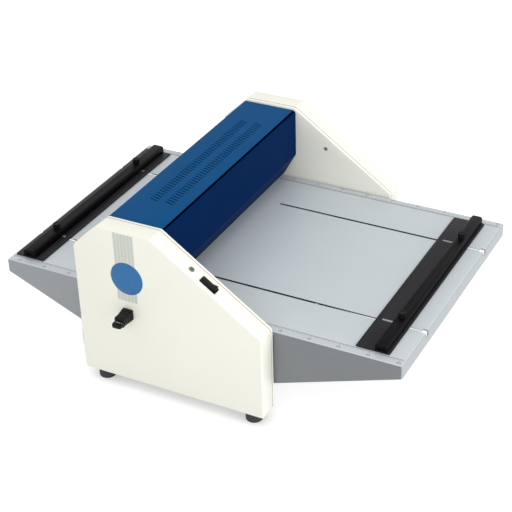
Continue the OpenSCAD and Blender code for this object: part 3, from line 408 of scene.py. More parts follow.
class Shape:
    """A mesh under work, in millimetres in the machine's own axes."""

    def __init__(self) -> None:
        """Starts an empty mesh."""
        self.mesh = bmesh.new()

    @classmethod
    def prism(cls, outline: Iterable[Point2], axis: Axis, low: float, high: float) -> "Shape":
        """Extrudes a flat outline.

        Args:
            outline: The outline's points across the axis.
            axis: The direction of the extrusion.
            low: Where the outline starts.
            high: Where it ends.

        Returns:
            The closed prism.
        """
        shape = cls()
        face = shape.mesh.faces.new([shape.mesh.verts.new(axis.place(a, b, low)) for a, b in outline])
        shape.move_new(bmesh.ops.extrude_face_region(shape.mesh, geom=[face]), axis.vector * (high - low))
        return shape.facing_out()

    @classmethod
    def box(cls, low: Point3, high: Point3) -> "Shape":
        """A box between two corners."""
        (x0, y0, z0), (x1, y1, z1) = low, high
        return cls.prism([(x0, y0), (x1, y0), (x1, y1), (x0, y1)], Axis.Z, z0, z1)

    @classmethod
    def rod(
        cls, axis: Axis, centre: Point2, radius: float, low: float, high: float, sides: int = 32
    ) -> "Shape":
        """Makes a cylinder.

        Args:
            axis: The cylinder's direction.
            centre: Its middle across the axis.
            radius: Its radius.
            low: Where it starts along the axis.
            high: Where it ends.
            sides: Number of its flats.

        Returns:
            The closed cylinder.
        """
        shape = cls()
        size = {"radius1": radius, "radius2": radius, "depth": abs(high - low)}
        bmesh.ops.create_cone(shape.mesh, cap_ends=True, segments=sides, **size)
        return shape.stood(axis, centre, (low + high) / 2)

    @classmethod
    def turned(cls, profile: Sequence[Point2], axis: Axis, centre: Point2, sides: int = 48) -> "Shape":
        """Spins a profile round an axis.

        Args:
            profile: Radius and height of each point, from one end of the piece to the other.
            axis: The axis of the spin.
            centre: Where the axis passes, across it.
            sides: Number of steps round.

        Returns:
            The closed turned shape.
        """
        shape = cls()
        verts = [shape.mesh.verts.new((radius, 0, height)) for radius, height in profile]
        edges = [shape.mesh.edges.new(pair) for pair in zip(verts, verts[1:])]
        bmesh.ops.spin(
            shape.mesh, geom=verts + edges, cent=(0, 0, 0), axis=(0, 0, 1), dvec=(0, 0, 0),
            angle=math.tau, steps=sides, use_merge=True,
        )
        bmesh.ops.remove_doubles(shape.mesh, verts=shape.mesh.verts, dist=MERGE)
        return shape.stood(axis, centre, 0).facing_out()

    @classmethod
    def sheet(cls, path: Sequence[Point2], axis: Axis, low: float, high: float, bend: float) -> "Shape":
        """Folds an open path into a thin surface with rounded bends.

        Args:
            path: The path's points across the axis.
            axis: The direction of the folds.
            low: Where the sheet starts along the axis.
            high: Where it ends.
            bend: Outer radius of the folds.

        Returns:
            The open surface.
        """
        shape = cls()
        verts = [shape.mesh.verts.new(axis.place(a, b, low)) for a, b in path]
        edges = [shape.mesh.edges.new(pair) for pair in zip(verts, verts[1:])]
        shape.move_new(bmesh.ops.extrude_edge_only(shape.mesh, edges=edges), axis.vector * (high - low))
        return shape.rounded(bend, along(axis), 6).facing_out()

    @classmethod
    def number(cls, text: str, height: float, depth: float) -> "Shape":
        """Makes a generic figure for a scale, flat in X and Y round its own middle.

        Args:
            text: The digits.
            height: Height of the digits.
            depth: How thick the ink is.

        Returns:
            The figure as a mesh.
        """
        curve = bpy.data.curves.new("figure", "FONT")
        curve.body, curve.size, curve.extrude, curve.resolution_u = text, height / 0.7, depth / 2, 2
        curve.align_x, curve.align_y = "CENTER", "CENTER"
        carrier = bpy.data.objects.new("figure", curve)
        bpy.context.scene.collection.objects.link(carrier)
        shape = cls()
        shape.reload(carrier)
        bpy.data.curves.remove(curve)
        return shape

    @classmethod
    def copy_of(cls, node: str) -> "Shape":
        """Copies a CAD node's mesh and merges its loose triangles into whole faces.

        Args:
            node: The CAD node's name.

        Returns:
            The merged copy.
        """
        shape = cls()
        shape.mesh.from_mesh(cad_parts[node].data)
        bmesh.ops.scale(shape.mesh, vec=(1 / TO_METRES,) * 3, verts=shape.mesh.verts)
        bmesh.ops.translate(shape.mesh, vec=MIDDLE, verts=shape.mesh.verts)
        bmesh.ops.remove_doubles(shape.mesh, verts=shape.mesh.verts, dist=MERGE)
        bmesh.ops.dissolve_limit(
            shape.mesh, angle_limit=math.radians(1), verts=shape.mesh.verts, edges=shape.mesh.edges
        )
        return shape

    def move_new(self, grown: dict, by: Vector) -> None:
        """Moves the points that an extrusion has just made."""
        tops = [g for g in grown["geom"] if isinstance(g, bmesh.types.BMVert)]
        bmesh.ops.translate(self.mesh, verts=tops, vec=by)

    def stood(self, axis: Axis, centre: Point2, height: float) -> "Shape":
        """Turns a shape made along Z to another axis and moves it to its place there."""
        turn = Vector((0, 0, 1)).rotation_difference(axis.vector).to_matrix().to_4x4()
        return self.moved(Matrix.Translation(axis.place(*centre, height)) @ turn)

    def split(self, axis: Axis, height: float) -> "Shape":
        """Parts the faces at a height of an axis and takes nothing away.

        Args:
            axis: The axis.
            height: The height.

        Returns:
            This shape.
        """
        every = [*self.mesh.verts, *self.mesh.edges, *self.mesh.faces]
        bmesh.ops.bisect_plane(self.mesh, geom=every, plane_co=axis.vector * height, plane_no=axis.vector)
        return self

    def facing_out(self) -> "Shape":
        """Turns every face outwards."""
        bmesh.ops.recalc_face_normals(self.mesh, faces=self.mesh.faces)
        return self

    def facing_up(self) -> "Shape":
        """Turns an open surface so that its highest face looks up.

        Returns:
            This shape.
        """
        self.facing_out()
        top = max(self.mesh.faces, key=lambda f: f.calc_center_median().z + abs(f.normal.z))
        if top.normal.z < 0:
            bmesh.ops.reverse_faces(self.mesh, faces=self.mesh.faces)
        return self

    def moved(self, matrix: Matrix) -> "Shape":
        """Moves the whole shape by a matrix."""
        bmesh.ops.transform(self.mesh, matrix=matrix, verts=self.mesh.verts)
        return self

    def shifted(self, x: float = 0, y: float = 0, z: float = 0) -> "Shape":
        """Moves the whole shape by lengths."""
        return self.moved(Matrix.Translation((x, y, z)))

    def add(self, *others: "Shape") -> "Shape":
        """Joins other shapes to this one.

        Args:
            *others: The other shapes.

        Returns:
            This shape.
        """
        for other in others:
            spare = bpy.data.meshes.new("spare")
            other.mesh.to_mesh(spare)
            self.mesh.from_mesh(spare)
            bpy.data.meshes.remove(spare)
        return self

    def rounded(self, radius: float, chosen: EdgeTest, segments: int = 4) -> "Shape":
        """Rounds edges to a radius, whatever angle their faces meet at.

        Args:
            radius: Radius of the rounding.
            chosen: The test that picks the edges.
            segments: Faces across each rounding.

        Returns:
            This shape.
        """
        turns: dict[float, list[bmesh.types.BMEdge]] = {}
        for edge in self.mesh.edges:
            if len(edge.link_faces) == 2 and chosen(edge) and edge.calc_face_angle() > 0.01:
                turns.setdefault(round(edge.calc_face_angle(), 2), []).append(edge)
        for turn, edges in turns.items():
            self.bevelled(edges, radius * math.tan(turn / 2), segments)
        return self

    def softened(self, width: float, segments: int = 2, sharper_than: float = 40) -> "Shape":
        """Takes the sharpness off every hard edge.

        Args:
            width: Width of the rounding.
            segments: Faces across it.
            sharper_than: Smallest angle in degrees that counts as hard.

        Returns:
            This shape.
        """
        hard = math.radians(sharper_than)
        edges = [e for e in self.mesh.edges if len(e.link_faces) == 2 and e.calc_face_angle() > hard]
        return self.bevelled(edges, width, segments)

    def bevelled(self, edges: list[bmesh.types.BMEdge], offset: float, segments: int) -> "Shape":
        """Bevels the given edges.

        Args:
            edges: The edges.
            offset: How far the new faces reach into the old ones.
            segments: Faces across each bevel.

        Returns:
            This shape.
        """
        bmesh.ops.bevel(
            self.mesh, geom=edges, offset=offset, offset_type="OFFSET", affect="EDGES", segments=segments,
            profile=0.5, material=-1, clamp_overlap=True,
        )
        return self

    def without(self, chosen: FaceTest) -> "Shape":
        """Takes away the faces that a test picks."""
        bmesh.ops.delete(self.mesh, geom=[f for f in self.mesh.faces if chosen(f)], context="FACES")
        return self

    def marked(self, number: int, chosen: FaceTest) -> "Shape":
        """Gives the faces that a test picks another finish of the piece.

        Args:
            number: Which finish, counted from the piece's main one.
            chosen: The test.

        Returns:
            This shape.
        """
        self.mesh.normal_update()
        for face in self.mesh.faces:
            if chosen(face):
                face.material_index = number
        return self

    def thickened(self, thickness: float) -> "Shape":
        """Gives an open surface a wall on its inner side."""
        return self.modified("SOLIDIFY", thickness=thickness, offset=-1, use_even_offset=True)

    def carved(self, *cutters: "Shape") -> "Shape":
        """Cuts other shapes out of this one; the cutters may not touch each other."""
        return self.combined("DIFFERENCE", Shape().add(*cutters))

    def merged(self, other: "Shape") -> "Shape":
        """Joins another solid to this one as a single solid."""
        return self.combined("UNION", other)

    def combined(self, operation: str, other: "Shape") -> "Shape":
        """Combines this shape with another as solids.

        Args:
            operation: What becomes of the two, as the Boolean modifier names it.
            other: The other shape, which is used up.

        Returns:
            This shape.
        """
        tool = other.carrier("tool")
        self.modified("BOOLEAN", operation=operation, solver="EXACT", object=tool)
        bpy.data.meshes.remove(tool.data)
        return self

    def modified(self, kind: str, **settings: object) -> "Shape":
        """Puts a modifier on the shape and applies it.

        Args:
            kind: The modifier's type.
            **settings: The modifier's settings.

        Returns:
            This shape.
        """
        carrier = self.carrier("work")
        modifier = carrier.modifiers.new("step", kind)
        for key, value in settings.items():
            setattr(modifier, key, value)
        data = carrier.data
        self.reload(carrier)
        bpy.data.meshes.remove(data)
        return self

    def carrier(self, name: str) -> bpy.types.Object:
        """Puts the mesh on an object of the scene.

        Args:
            name: The object's name.

        Returns:
            The object.
        """
        data = bpy.data.meshes.new(name)
        self.mesh.to_mesh(data)
        carrier = bpy.data.objects.new(name, data)
        bpy.context.scene.collection.objects.link(carrier)
        return carrier

    def reload(self, carrier: bpy.types.Object) -> None:
        """Takes the mesh back from an object, modifiers applied, and removes the object.

        Args:
            carrier: The object.
        """
        bpy.context.view_layer.update()
        evaluated = carrier.evaluated_get(bpy.context.evaluated_depsgraph_get())
        data = bpy.data.meshes.new_from_object(evaluated)
        self.mesh.clear()
        self.mesh.from_mesh(data)
        bpy.data.objects.remove(carrier)
        bpy.data.meshes.remove(data)

    def piece(
        self, name: str, finish: Finish, nodes: Sequence[str] = (), body: str = "machine", sharp: float = 32,
        others: Sequence[Finish] = (),
    ) -> bpy.types.Object:
        """Turns the shape into a finished piece of the machine.

        Args:
            name: The piece's name.
            finish: Its finish.
            nodes: CAD nodes that it stands for.
            body: CAD body that it moves with.
            sharp: Angle in degrees above which an edge stays crisp.
            others: Finishes of the faces marked 1, 2 and so on.

        Returns:
            The piece.
        """
        bmesh.ops.translate(self.mesh, vec=-MIDDLE, verts=self.mesh.verts)
        bmesh.ops.scale(self.mesh, vec=(TO_METRES,) * 3, verts=self.mesh.verts)
        obj = self.carrier(name)
        for each in (finish, *others):
            obj.data.materials.append(each.material())
        obj.data.shade_smooth()
        obj.data.set_sharp_from_angle(angle=math.radians(sharp))
        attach(obj, body)
        if nodes:
            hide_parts(*nodes)
        loose = sum(len(e.link_faces) != 2 for e in self.mesh.edges)
        LOG.info("%s: %s faces, %s open edges, %s", name, len(self.mesh.faces), loose, finish.name)
        self.mesh.free()
        return obj


def dress(finish: Finish, *nodes: str) -> None:
    """Gives CAD nodes that stay as they are a finish.

    Args:
        finish: The finish.
        *nodes: The nodes' names.
    """
    for name in nodes:
        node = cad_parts[name]
        node.data.materials.clear()
        node.data.materials.append(finish.material())
        LOG.info("%s: CAD node kept, %s", name, finish.name)


def machined(finish: Finish, nodes: Iterable[str], body: str = "machine", edge: float = 0.4) -> None:
    """Gives CAD nodes broken edges and a finish.

    Args:
        finish: The finish.
        nodes: The nodes' names.
        body: CAD body that they move with.
        edge: Width of the broken edges.
    """
    for node in nodes:
        Shape.copy_of(node).softened(edge, 1, 50).piece(f"{node}_part", finish, [node], body)


# ---- sub-assemblies -------------------------------------------------------------------------------------


@dataclass(frozen=True)
class Plan:
    """Heights and distances that several sub-assemblies share."""

    frame_in: float = 237.5
    frame_out: float = 243.5
    side_out: float = 276.5
    table_z: float = 165.5
    crease_x: float = -71.0
    slope_top: Point2 = (-22.0, 307.5)
    slope_end: Point2 = (170.0, 173.0)
    switch_y: float = -261.75
    selector: Point2 = (-73.0, 155.4)
    inlet_z: float = 80.0
    pedal_z: float = 122.0
    lamp_at: float = 78.7
    rocker_at: float = 115.4

    def on_slope(self, distance: float) -> Matrix:
        """Places a piece on the near side's front slope.

        Args:
            distance: How far down the slope from its top.

        Returns:
            A matrix whose Z stands on the slope and whose X points down it.
        """
        run, fall = self.slope_end[0] - self.slope_top[0], self.slope_top[1] - self.slope_end[1]
        angle = math.atan2(fall, run)
        x = self.slope_top[0] + distance * math.cos(angle)
        z = self.slope_top[1] - distance * math.sin(angle)
        return Matrix.Translation((x, self.switch_y, z)) @ Matrix.Rotation(angle, 4, "Y")


@dataclass
class Sides:
    """The two house-shaped sides: inner plates, hollow outer covers, feet, badge, stripes and screws."""

    plan: Plan
    outline: Sequence[Point2] = (
        (-170, 19.5), (-170, 262), (-121, 307.5), (-22, 307.5), (170, 173), (170, 19.5),
    )
    corner: float = 8.0
    front_corner: float = 4.0
    rim: float = 2.6
    seam: float = 1.0
    wall: float = 2.5
    foot_points: Sequence[Point2] = ((-139.5, -257), (143, -257), (-139.5, 257), (143, 257))
    screw_points: Sequence[Point2] = ((-156, 46), (150, 50), (150, 122), (41.1, 237.7), (-148, 225))
    frame_round: float = 1.6
    window: tuple[Point2, Point2] = ((-88, 176), (-54, 248))  # where the beam reaches through, in X and Z
    holes: Sequence[tuple[Point2, float]] = (
        ((-71, 78), 12), ((-113, 296), 4), ((-140, 52), 4.2), ((120, 52), 4.2), ((-88, 138), 4.2),
        ((-54, 138), 4.2),
    )
    stud: Point2 = (-31.5, 297.7)
    boss_r: float = 5.0
    head_r: float = 3.6
    shank_r: float = 2.0
    recess: Point2 = (2.2, 0.45)  # half the length and width of an arm of a screw's cross recess
    rocker_hole: Point2 = (15.5, 6.9)
    lamp_hole: float = 4.1
    selector_hole: float = 3.3
    inlet_hole: Point2 = (10.1, 13.6)
    pedal_hole: float = 8.1
    rear_wall: Point2 = (-171.0, -165.0)
    badge: Point3 = (-71.0, 222.5, 30.0)
    stripe_x: Sequence[float] = (-91.0, -84.7, -78.4, -72.1, -65.8, -59.5)
    stripe_w: float = 5.8
    stripe_z: Point2 = (179.0, 304.9)

    def build(self) -> None:
        """Builds both sides."""
        for side in Side:
            self.build_frame(side)
            self.build_cover(side)
        self.build_feet()
        self.build_screws()
        self.build_badge()
        self.build_stripes()

    def round_corners(self, shape: Shape) -> None:
        """Rounds a side's outline, the lower front corner less than the others.

        Args:
            shape: The side's prism.
        """
        shape.rounded(self.front_corner, lambda e: along(Axis.Y)(e) and self.at_front_foot(e), 4)
        shape.rounded(self.corner, lambda e: along(Axis.Y)(e) and not self.at_front_foot(e), 6)

    def at_front_foot(self, edge: bmesh.types.BMEdge) -> bool:
        """Tells whether an edge lies at the lower front corner."""
        return edge.verts[0].co.x > 155 and edge.verts[0].co.z < 35

    def build_frame(self, side: Side) -> None:
        """Builds one inner plate with its holes and the stud that the hood rests on.

        Args:
            side: Which side it is.
        """
        s, plan = side.value, self.plan
        plate = Shape.prism(self.outline, Axis.Y, s * plan.frame_in, s * plan.frame_out)
        self.round_corners(plate)
        plate.rounded(self.frame_round, level(Axis.Y, s * plan.frame_in), 3)
        plate.rounded(self.seam, level(Axis.Y, s * plan.frame_out), 2)
        low, high = side.span(plan.frame_in - 1, plan.frame_out + 1)
        (x0, z0), (x1, z1) = self.window
        holes = [*self.holes, *((p, self.shank_r + 0.2) for p in self.screw_points)]
        rods = (Shape.rod(Axis.Y, p, r, low, high, 24) for p, r in holes)
        plate.carved(Shape.box((x0, low, z0), (x1, high, z1)), *rods)
        low, high = side.span(plan.frame_in - 1, plan.frame_in + 2)
        plate.carved(*(Shape.rod(Axis.Y, p, self.head_r + 0.2, low, high, 24) for p in self.screw_points))
        low, high = side.span(plan.frame_in - 9, plan.frame_in + 1)
        plate.add(Shape.rod(Axis.Y, self.stud, 4, low, high, 24).softened(0.5))
        # The faces at the seam get painted shade.
        plate.marked(1, lambda f: all(abs(v.co.y) > plan.frame_out - self.seam - 0.05 for v in f.verts))
        plate.piece(f"inner_plate_{side.label}", CREAM, [f"side_frame_{side.label}"], others=[PLATE_SEAM_SHADE])

    def build_cover(self, side: Side) -> None:
        """Builds one hollow outer cover.

        Args:
            side: Which side it is.
        """
        s, plan = side.value, self.plan
        cover = Shape.prism(self.outline, Axis.Y, s * plan.frame_out, s * plan.side_out)
        self.round_corners(cover)
        cover.rounded(self.rim, level(Axis.Y, s * plan.side_out), 5)
        cover.rounded(self.seam, level(Axis.Y, s * plan.frame_out), 2)
        cover.without(lambda f: all(level(Axis.Y, s * plan.frame_out)(e) for e in f.edges))
        cover.thickened(self.wall)
        for p in self.screw_points:
            low, high = side.span(plan.frame_out, plan.side_out - self.wall + 0.5)
            boss = Shape.rod(Axis.Y, p, self.boss_r, low, high, 24)
            low, high = side.span(plan.frame_out - 1, plan.frame_out + 14)
            cover.add(boss.carved(Shape.rod(Axis.Y, p, self.shank_r, low, high, 16)))
        if side is Side.NEAR:
            cover = self.cut_out(cover)
        # The faces at the seam get painted shade.
        cover.marked(1, lambda f: all(abs(v.co.y) < plan.frame_out + self.seam + 0.05 for v in f.verts))
        cover.piece(f"outer_cover_{side.label}", CREAM, [f"side_cover_{side.label}"], others=[PLATE_SEAM_SHADE])

    def cut_out(self, cover: Shape) -> Shape:
        """Cuts the near cover for its controls.

        Args:
            cover: The near cover.

        Returns:
            The cover with its openings.
        """
        plan, y, (rear, inside) = self.plan, self.plan.switch_y, self.rear_wall
        (half, wide), (across, high), out = self.rocker_hole, self.inlet_hole, -self.plan.side_out
        rocker = Shape.box((-half, -wide, -20), (half, wide, 10)).moved(plan.on_slope(plan.rocker_at))
        lamp = Shape.rod(Axis.Z, (0, 0), self.lamp_hole, -10, 10, 24).moved(plan.on_slope(plan.lamp_at))
        shaft = Shape.rod(Axis.Y, plan.selector, self.selector_hole, out - 1, out + 4, 24)
        inlet = Shape.box((rear, y - across, plan.inlet_z - high), (inside, y + across, plan.inlet_z + high))
        pedal = Shape.rod(Axis.X, (y, plan.pedal_z), self.pedal_hole, rear, inside, 32)
        return cover.carved(rocker, lamp, shaft, inlet, pedal)

    def build_feet(self) -> None:
        """Turns the four rubber feet, with a grip groove at the bottom edge."""
        profile = [(0, 0.6), (9, 0.6), (9.8, 0), (12.4, 0), (13.5, 0.4), (14.3, 1.4), (14.5, 3)]
        profile += [(14.5, 19.5), (0, 19.5)]
        feet = Shape().add(*(Shape.turned(profile, Axis.Z, p, 40) for p in self.foot_points))
        feet.piece("feet", RUBBER, ["rubber_feet"])

    def build_screws(self) -> None:
        """Makes the cover screws: a flush head with a cross recess, and its shank."""
        screws, depth, (long, thin) = Shape(), self.plan.frame_in, self.recess
        for side in Side:
            for x, z in self.screw_points:
                low, high = side.span(depth, depth + 2)
                head = Shape.rod(Axis.Y, (x, z), self.head_r, low, high, 32).softened(0.3)
                low, high = side.span(depth - 1, depth + 1.4)
                for a, b in ((long, thin), (thin, long)):
                    head.carved(Shape.box((x - a, low, z - b), (x + a, high, z + b)))
                low, high = side.span(depth + 1.9, self.plan.frame_out + 12)
                screws.add(head, Shape.rod(Axis.Y, (x, z), self.shank_r, low, high, 16))
        screws.piece("cross_recess_screws", ZINC, ["cover_screws"])

    def build_badge(self) -> None:
        """Turns the plain round badge, slightly domed over a thin edge."""
        x, z, radius = self.badge
        out = -self.plan.side_out
        profile = [(0, out - 0.6), (radius * 0.6, out - 0.57), (radius - 1.2, out - 0.45)]
        profile += [(radius, out), (0, out)]
        Shape.turned(profile, Axis.Y, (x, z), 96).piece("round_badge", ENAMEL, ["badge_disc"])

    def build_stripes(self) -> None:
        """Lays the band of fine printed bars down the near cover's face behind the badge."""
        out, bars, (low, high) = -self.plan.side_out, Shape(), self.stripe_z
        for x in self.stripe_x:
            bars.add(Shape.box((x, out - 0.08, low), (x + self.stripe_w, out + 0.02, high)))
        bars.piece("stripe_print", GREY_INK)


@dataclass(frozen=True)
class TableSize:
    """Sizes of one folded table.

    Attributes:
        name: The table's name.
        start: Its inner edge.
        end: Its outer end.
        fold: Where its side folds start.
        straight: How far the side folds keep their depth.
        bottom: Height of their lower edge.
        slot: Where its long slots start.
    """

    name: str
    start: float
    end: float
    fold: float
    straight: float
    bottom: float
    slot: float

    @property
    def outward(self) -> int:
        """1 where the table runs to +X and -1 where it runs to -X."""
        return 1 if self.end > self.start else -1


@dataclass
class Tables:
    """The folded front and rear tables with their printed scales."""

    plan: Plan
    half: float = 235.5
    sheet: float = 2.0
    bend: float = 3.0
    end_bend: float = 5.0
    shade_reach: float = 0.8  # share of the way to the outer end over which the slots' walls get painted shade
    end_z: float = 142.2
    slot_y: float = 133.5
    slot_w: float = 4.5
    notch: Point3 = (10.5, 8.4, 9.0)
    ruler: Point2 = (218.9, 232.5)
    ruler_t: float = 0.4
    tick: int = 5  # from one tick to the next
    tick_w: float = 0.5
    tick_reach: Point3 = (3.2, 5.0, 7.5)  # how far the ticks of 5, 10 and 50 mm reach in from the edge
    edge_line: float = 0.7
    figure_h: float = 3.4
    figure_at: float = 10.4  # middle of a figure, from the scale's inner edge
    ink_z: Point2 = (-0.02, 0.03)  # underside and top of the ink, from the film's face
    sizes: Sequence[TableSize] = (
        TableSize("infeed", -64.0, 388.4, 60.0, 170.0, 64.5, 0.0),
        TableSize("outfeed", -78.0, -343.6, -125.0, -170.0, 70.0, -140.0),
    )

    def build(self) -> None:
        """Builds both tables and their scales."""
        for size in self.sizes:
            self.build_table(size)
            self.build_scale(size)
        machined(ZINC, ["table_screws"], edge=0.3)

    def build_table(self, size: TableSize) -> None:
        """Folds one table from a flat sheet and cuts its slots.

        Args:
            size: The table's sizes.
        """
        top, x0, x1 = self.plan.table_z, *sorted((size.start, size.end))
        table = Shape()
        bmesh.ops.create_grid(table.mesh, x_segments=1, y_segments=1, size=0.5)
        bmesh.ops.scale(table.mesh, vec=(x1 - x0, 2 * self.half, 1), verts=table.mesh.verts)
        table.shifted(x=(x0 + x1) / 2, z=top)
        table.split(Axis.X, size.fold).split(Axis.X, size.straight)
        folds = [e for e in table.mesh.edges if e.is_boundary and self.is_fold(e, size)]
        grown = bmesh.ops.extrude_edge_only(table.mesh, edges=folds)["geom"]
        for vert in (g for g in grown if isinstance(g, bmesh.types.BMVert)):
            vert.co.z = self.end_z if abs(vert.co.x - size.end) < CLOSE else size.bottom
        table.rounded(self.end_bend, both(along(Axis.Y), level(Axis.X, size.end)), 8)
        table.rounded(self.bend, lambda e: not along(Axis.Y)(e), 4)
        table.facing_up().thickened(self.sheet)
        for face in (f for f in table.mesh.faces if f.normal.z < -0.9 and f.calc_area() > 2000):
            for vert in face.verts:
                vert.co.z = top - self.sheet
        # Mark 1 is painted shade on the folds and the underside.
        table.carved(*self.cutters(size)).marked(1, lambda f: f.normal.z < 0.6)
        # Mark 2 is painted shade on the outer end's fold.
        table.marked(2, lambda f: abs(f.normal.x) > 0.5 and f.normal.z > -0.3).marked(0, self.in_slot)
        # Mark 3 is painted shade on the slots' walls short of the outer end.
        table.marked(3, lambda f: self.in_slot(f) and self.in_shaded_stretch(f, size))
        others = [FOLD_SHADE if size.outward > 0 else REAR_FOLD_SHADE, END_FOLD_SHADE, SLOT_WALL_SHADE]
        table.piece(f"{size.name}_table_top", TABLE_COAT, [f"{size.name}_table"], others=others)

    def in_slot(self, face: bmesh.types.BMFace) -> bool:
        """Tells whether a face is the wall of a slot.

        Args:
            face: The face.

        Returns:
            True where it is a wall of one of the table's slots or notches.
        """
        spot = face.calc_center_median()
        at_slot = abs(abs(spot.y) - self.slot_y) < self.notch[1] / 2 + 0.1 and spot.z > self.plan.table_z - 4
        return at_slot and abs(face.normal.z) < 0.3

    def in_shaded_stretch(self, face: bmesh.types.BMFace, size: TableSize) -> bool:
        """Tells whether a face lies short of the outer end, where the slots' walls get painted shade."""
        return min(abs(v.co.x) for v in face.verts) < self.shade_reach * abs(size.end)

    def is_fold(self, edge: bmesh.types.BMEdge, size: TableSize) -> bool:
        """Tells whether an edge of the flat sheet is folded down.

        Args:
            edge: A boundary edge.
            size: The table's sizes.

        Returns:
            True at the outer end and along the sides past the start of the folds.
        """
        middle = (edge.verts[0].co + edge.verts[1].co) / 2
        at_side = abs(abs(middle.y) - self.half) < CLOSE
        return abs(middle.x - size.end) < CLOSE or (at_side and size.outward * (middle.x - size.fold) > 0)

    def cutters(self, size: TableSize) -> list[Shape]:
        """Makes the cutters of the two long slots and of their notches at the outer end.

        Args:
            size: The table's sizes.

        Returns:
            The cutters.
        """
        width, length, depth = self.notch
        top, out = self.plan.table_z, size.outward
        cutters = []
        for side in Side:
            y, half = side.value * self.slot_y, self.slot_w / 2
            inner = size.slot - out * half
            x0, x1 = sorted((inner, size.end - out * (length - 0.5)))
            slot = Shape.box((x0, y - half, top - 4), (x1, y + half, top + 2))
            slot.rounded(half * 0.98, both(along(Axis.Z), level(Axis.X, inner)), 6)
            slot.split(Axis.X, self.shade_reach * size.end)
            x0, x1 = sorted((size.end - out * length, size.end + out * 2))
            notch = Shape.box((x0, y - width / 2, top - depth), (x1, y + width / 2, top + 2))
            cutters.append(slot.merged(notch))
        return cutters

    def build_scale(self, size: TableSize) -> None:
        """Lays the two printed film scales of one table, with millimetre ticks and figures.

        Args:
            size: The table's sizes.
        """
        crease, out, (inner, outer) = self.plan.crease_x, size.outward, self.ruler
        x0, x1 = sorted((size.start + out * 2, size.end - out * self.bend))
        films, marks = Shape(), Shape()
        ink = self.plan.table_z + self.ruler_t
        low, high = ink + self.ink_z[0], ink + self.ink_z[1]
        for side in Side:
            y0, y1 = side.span(inner, outer)
            films.add(Shape.box((x0, y0, self.plan.table_z), (x1, y1, ink)))
            y0, y1 = side.span(inner, inner + self.edge_line)
            marks.add(Shape.box((x0, y0, low), (x1, y1, high)))
            for step in range(3, int(abs(size.end - crease) / self.tick)):
                x = crease + out * step * self.tick
                if x0 + 1 < x < x1 - 1:
                    reach = self.tick_reach[2 if step % 10 == 0 else 1 if step % 2 == 0 else 0]
                    y0, y1 = side.span(inner + 0.5, inner + reach)
                    marks.add(Shape.box((x - self.tick_w / 2, y0, low), (x + self.tick_w / 2, y1, high)))
                if step % 10 == 0 and x0 + 6 < x < x1 - 6:
                    figure = Shape.number(str(step * self.tick), self.figure_h, 0.04)
                    marks.add(figure.shifted(x, side.value * (inner + self.figure_at), ink + 0.01))
        films.softened(0.15, 1).piece(f"{size.name}_scale_film", FILM, [f"{size.name}_rulers"])
        marks.piece(f"{size.name}_scale_print", BLACK_INK)


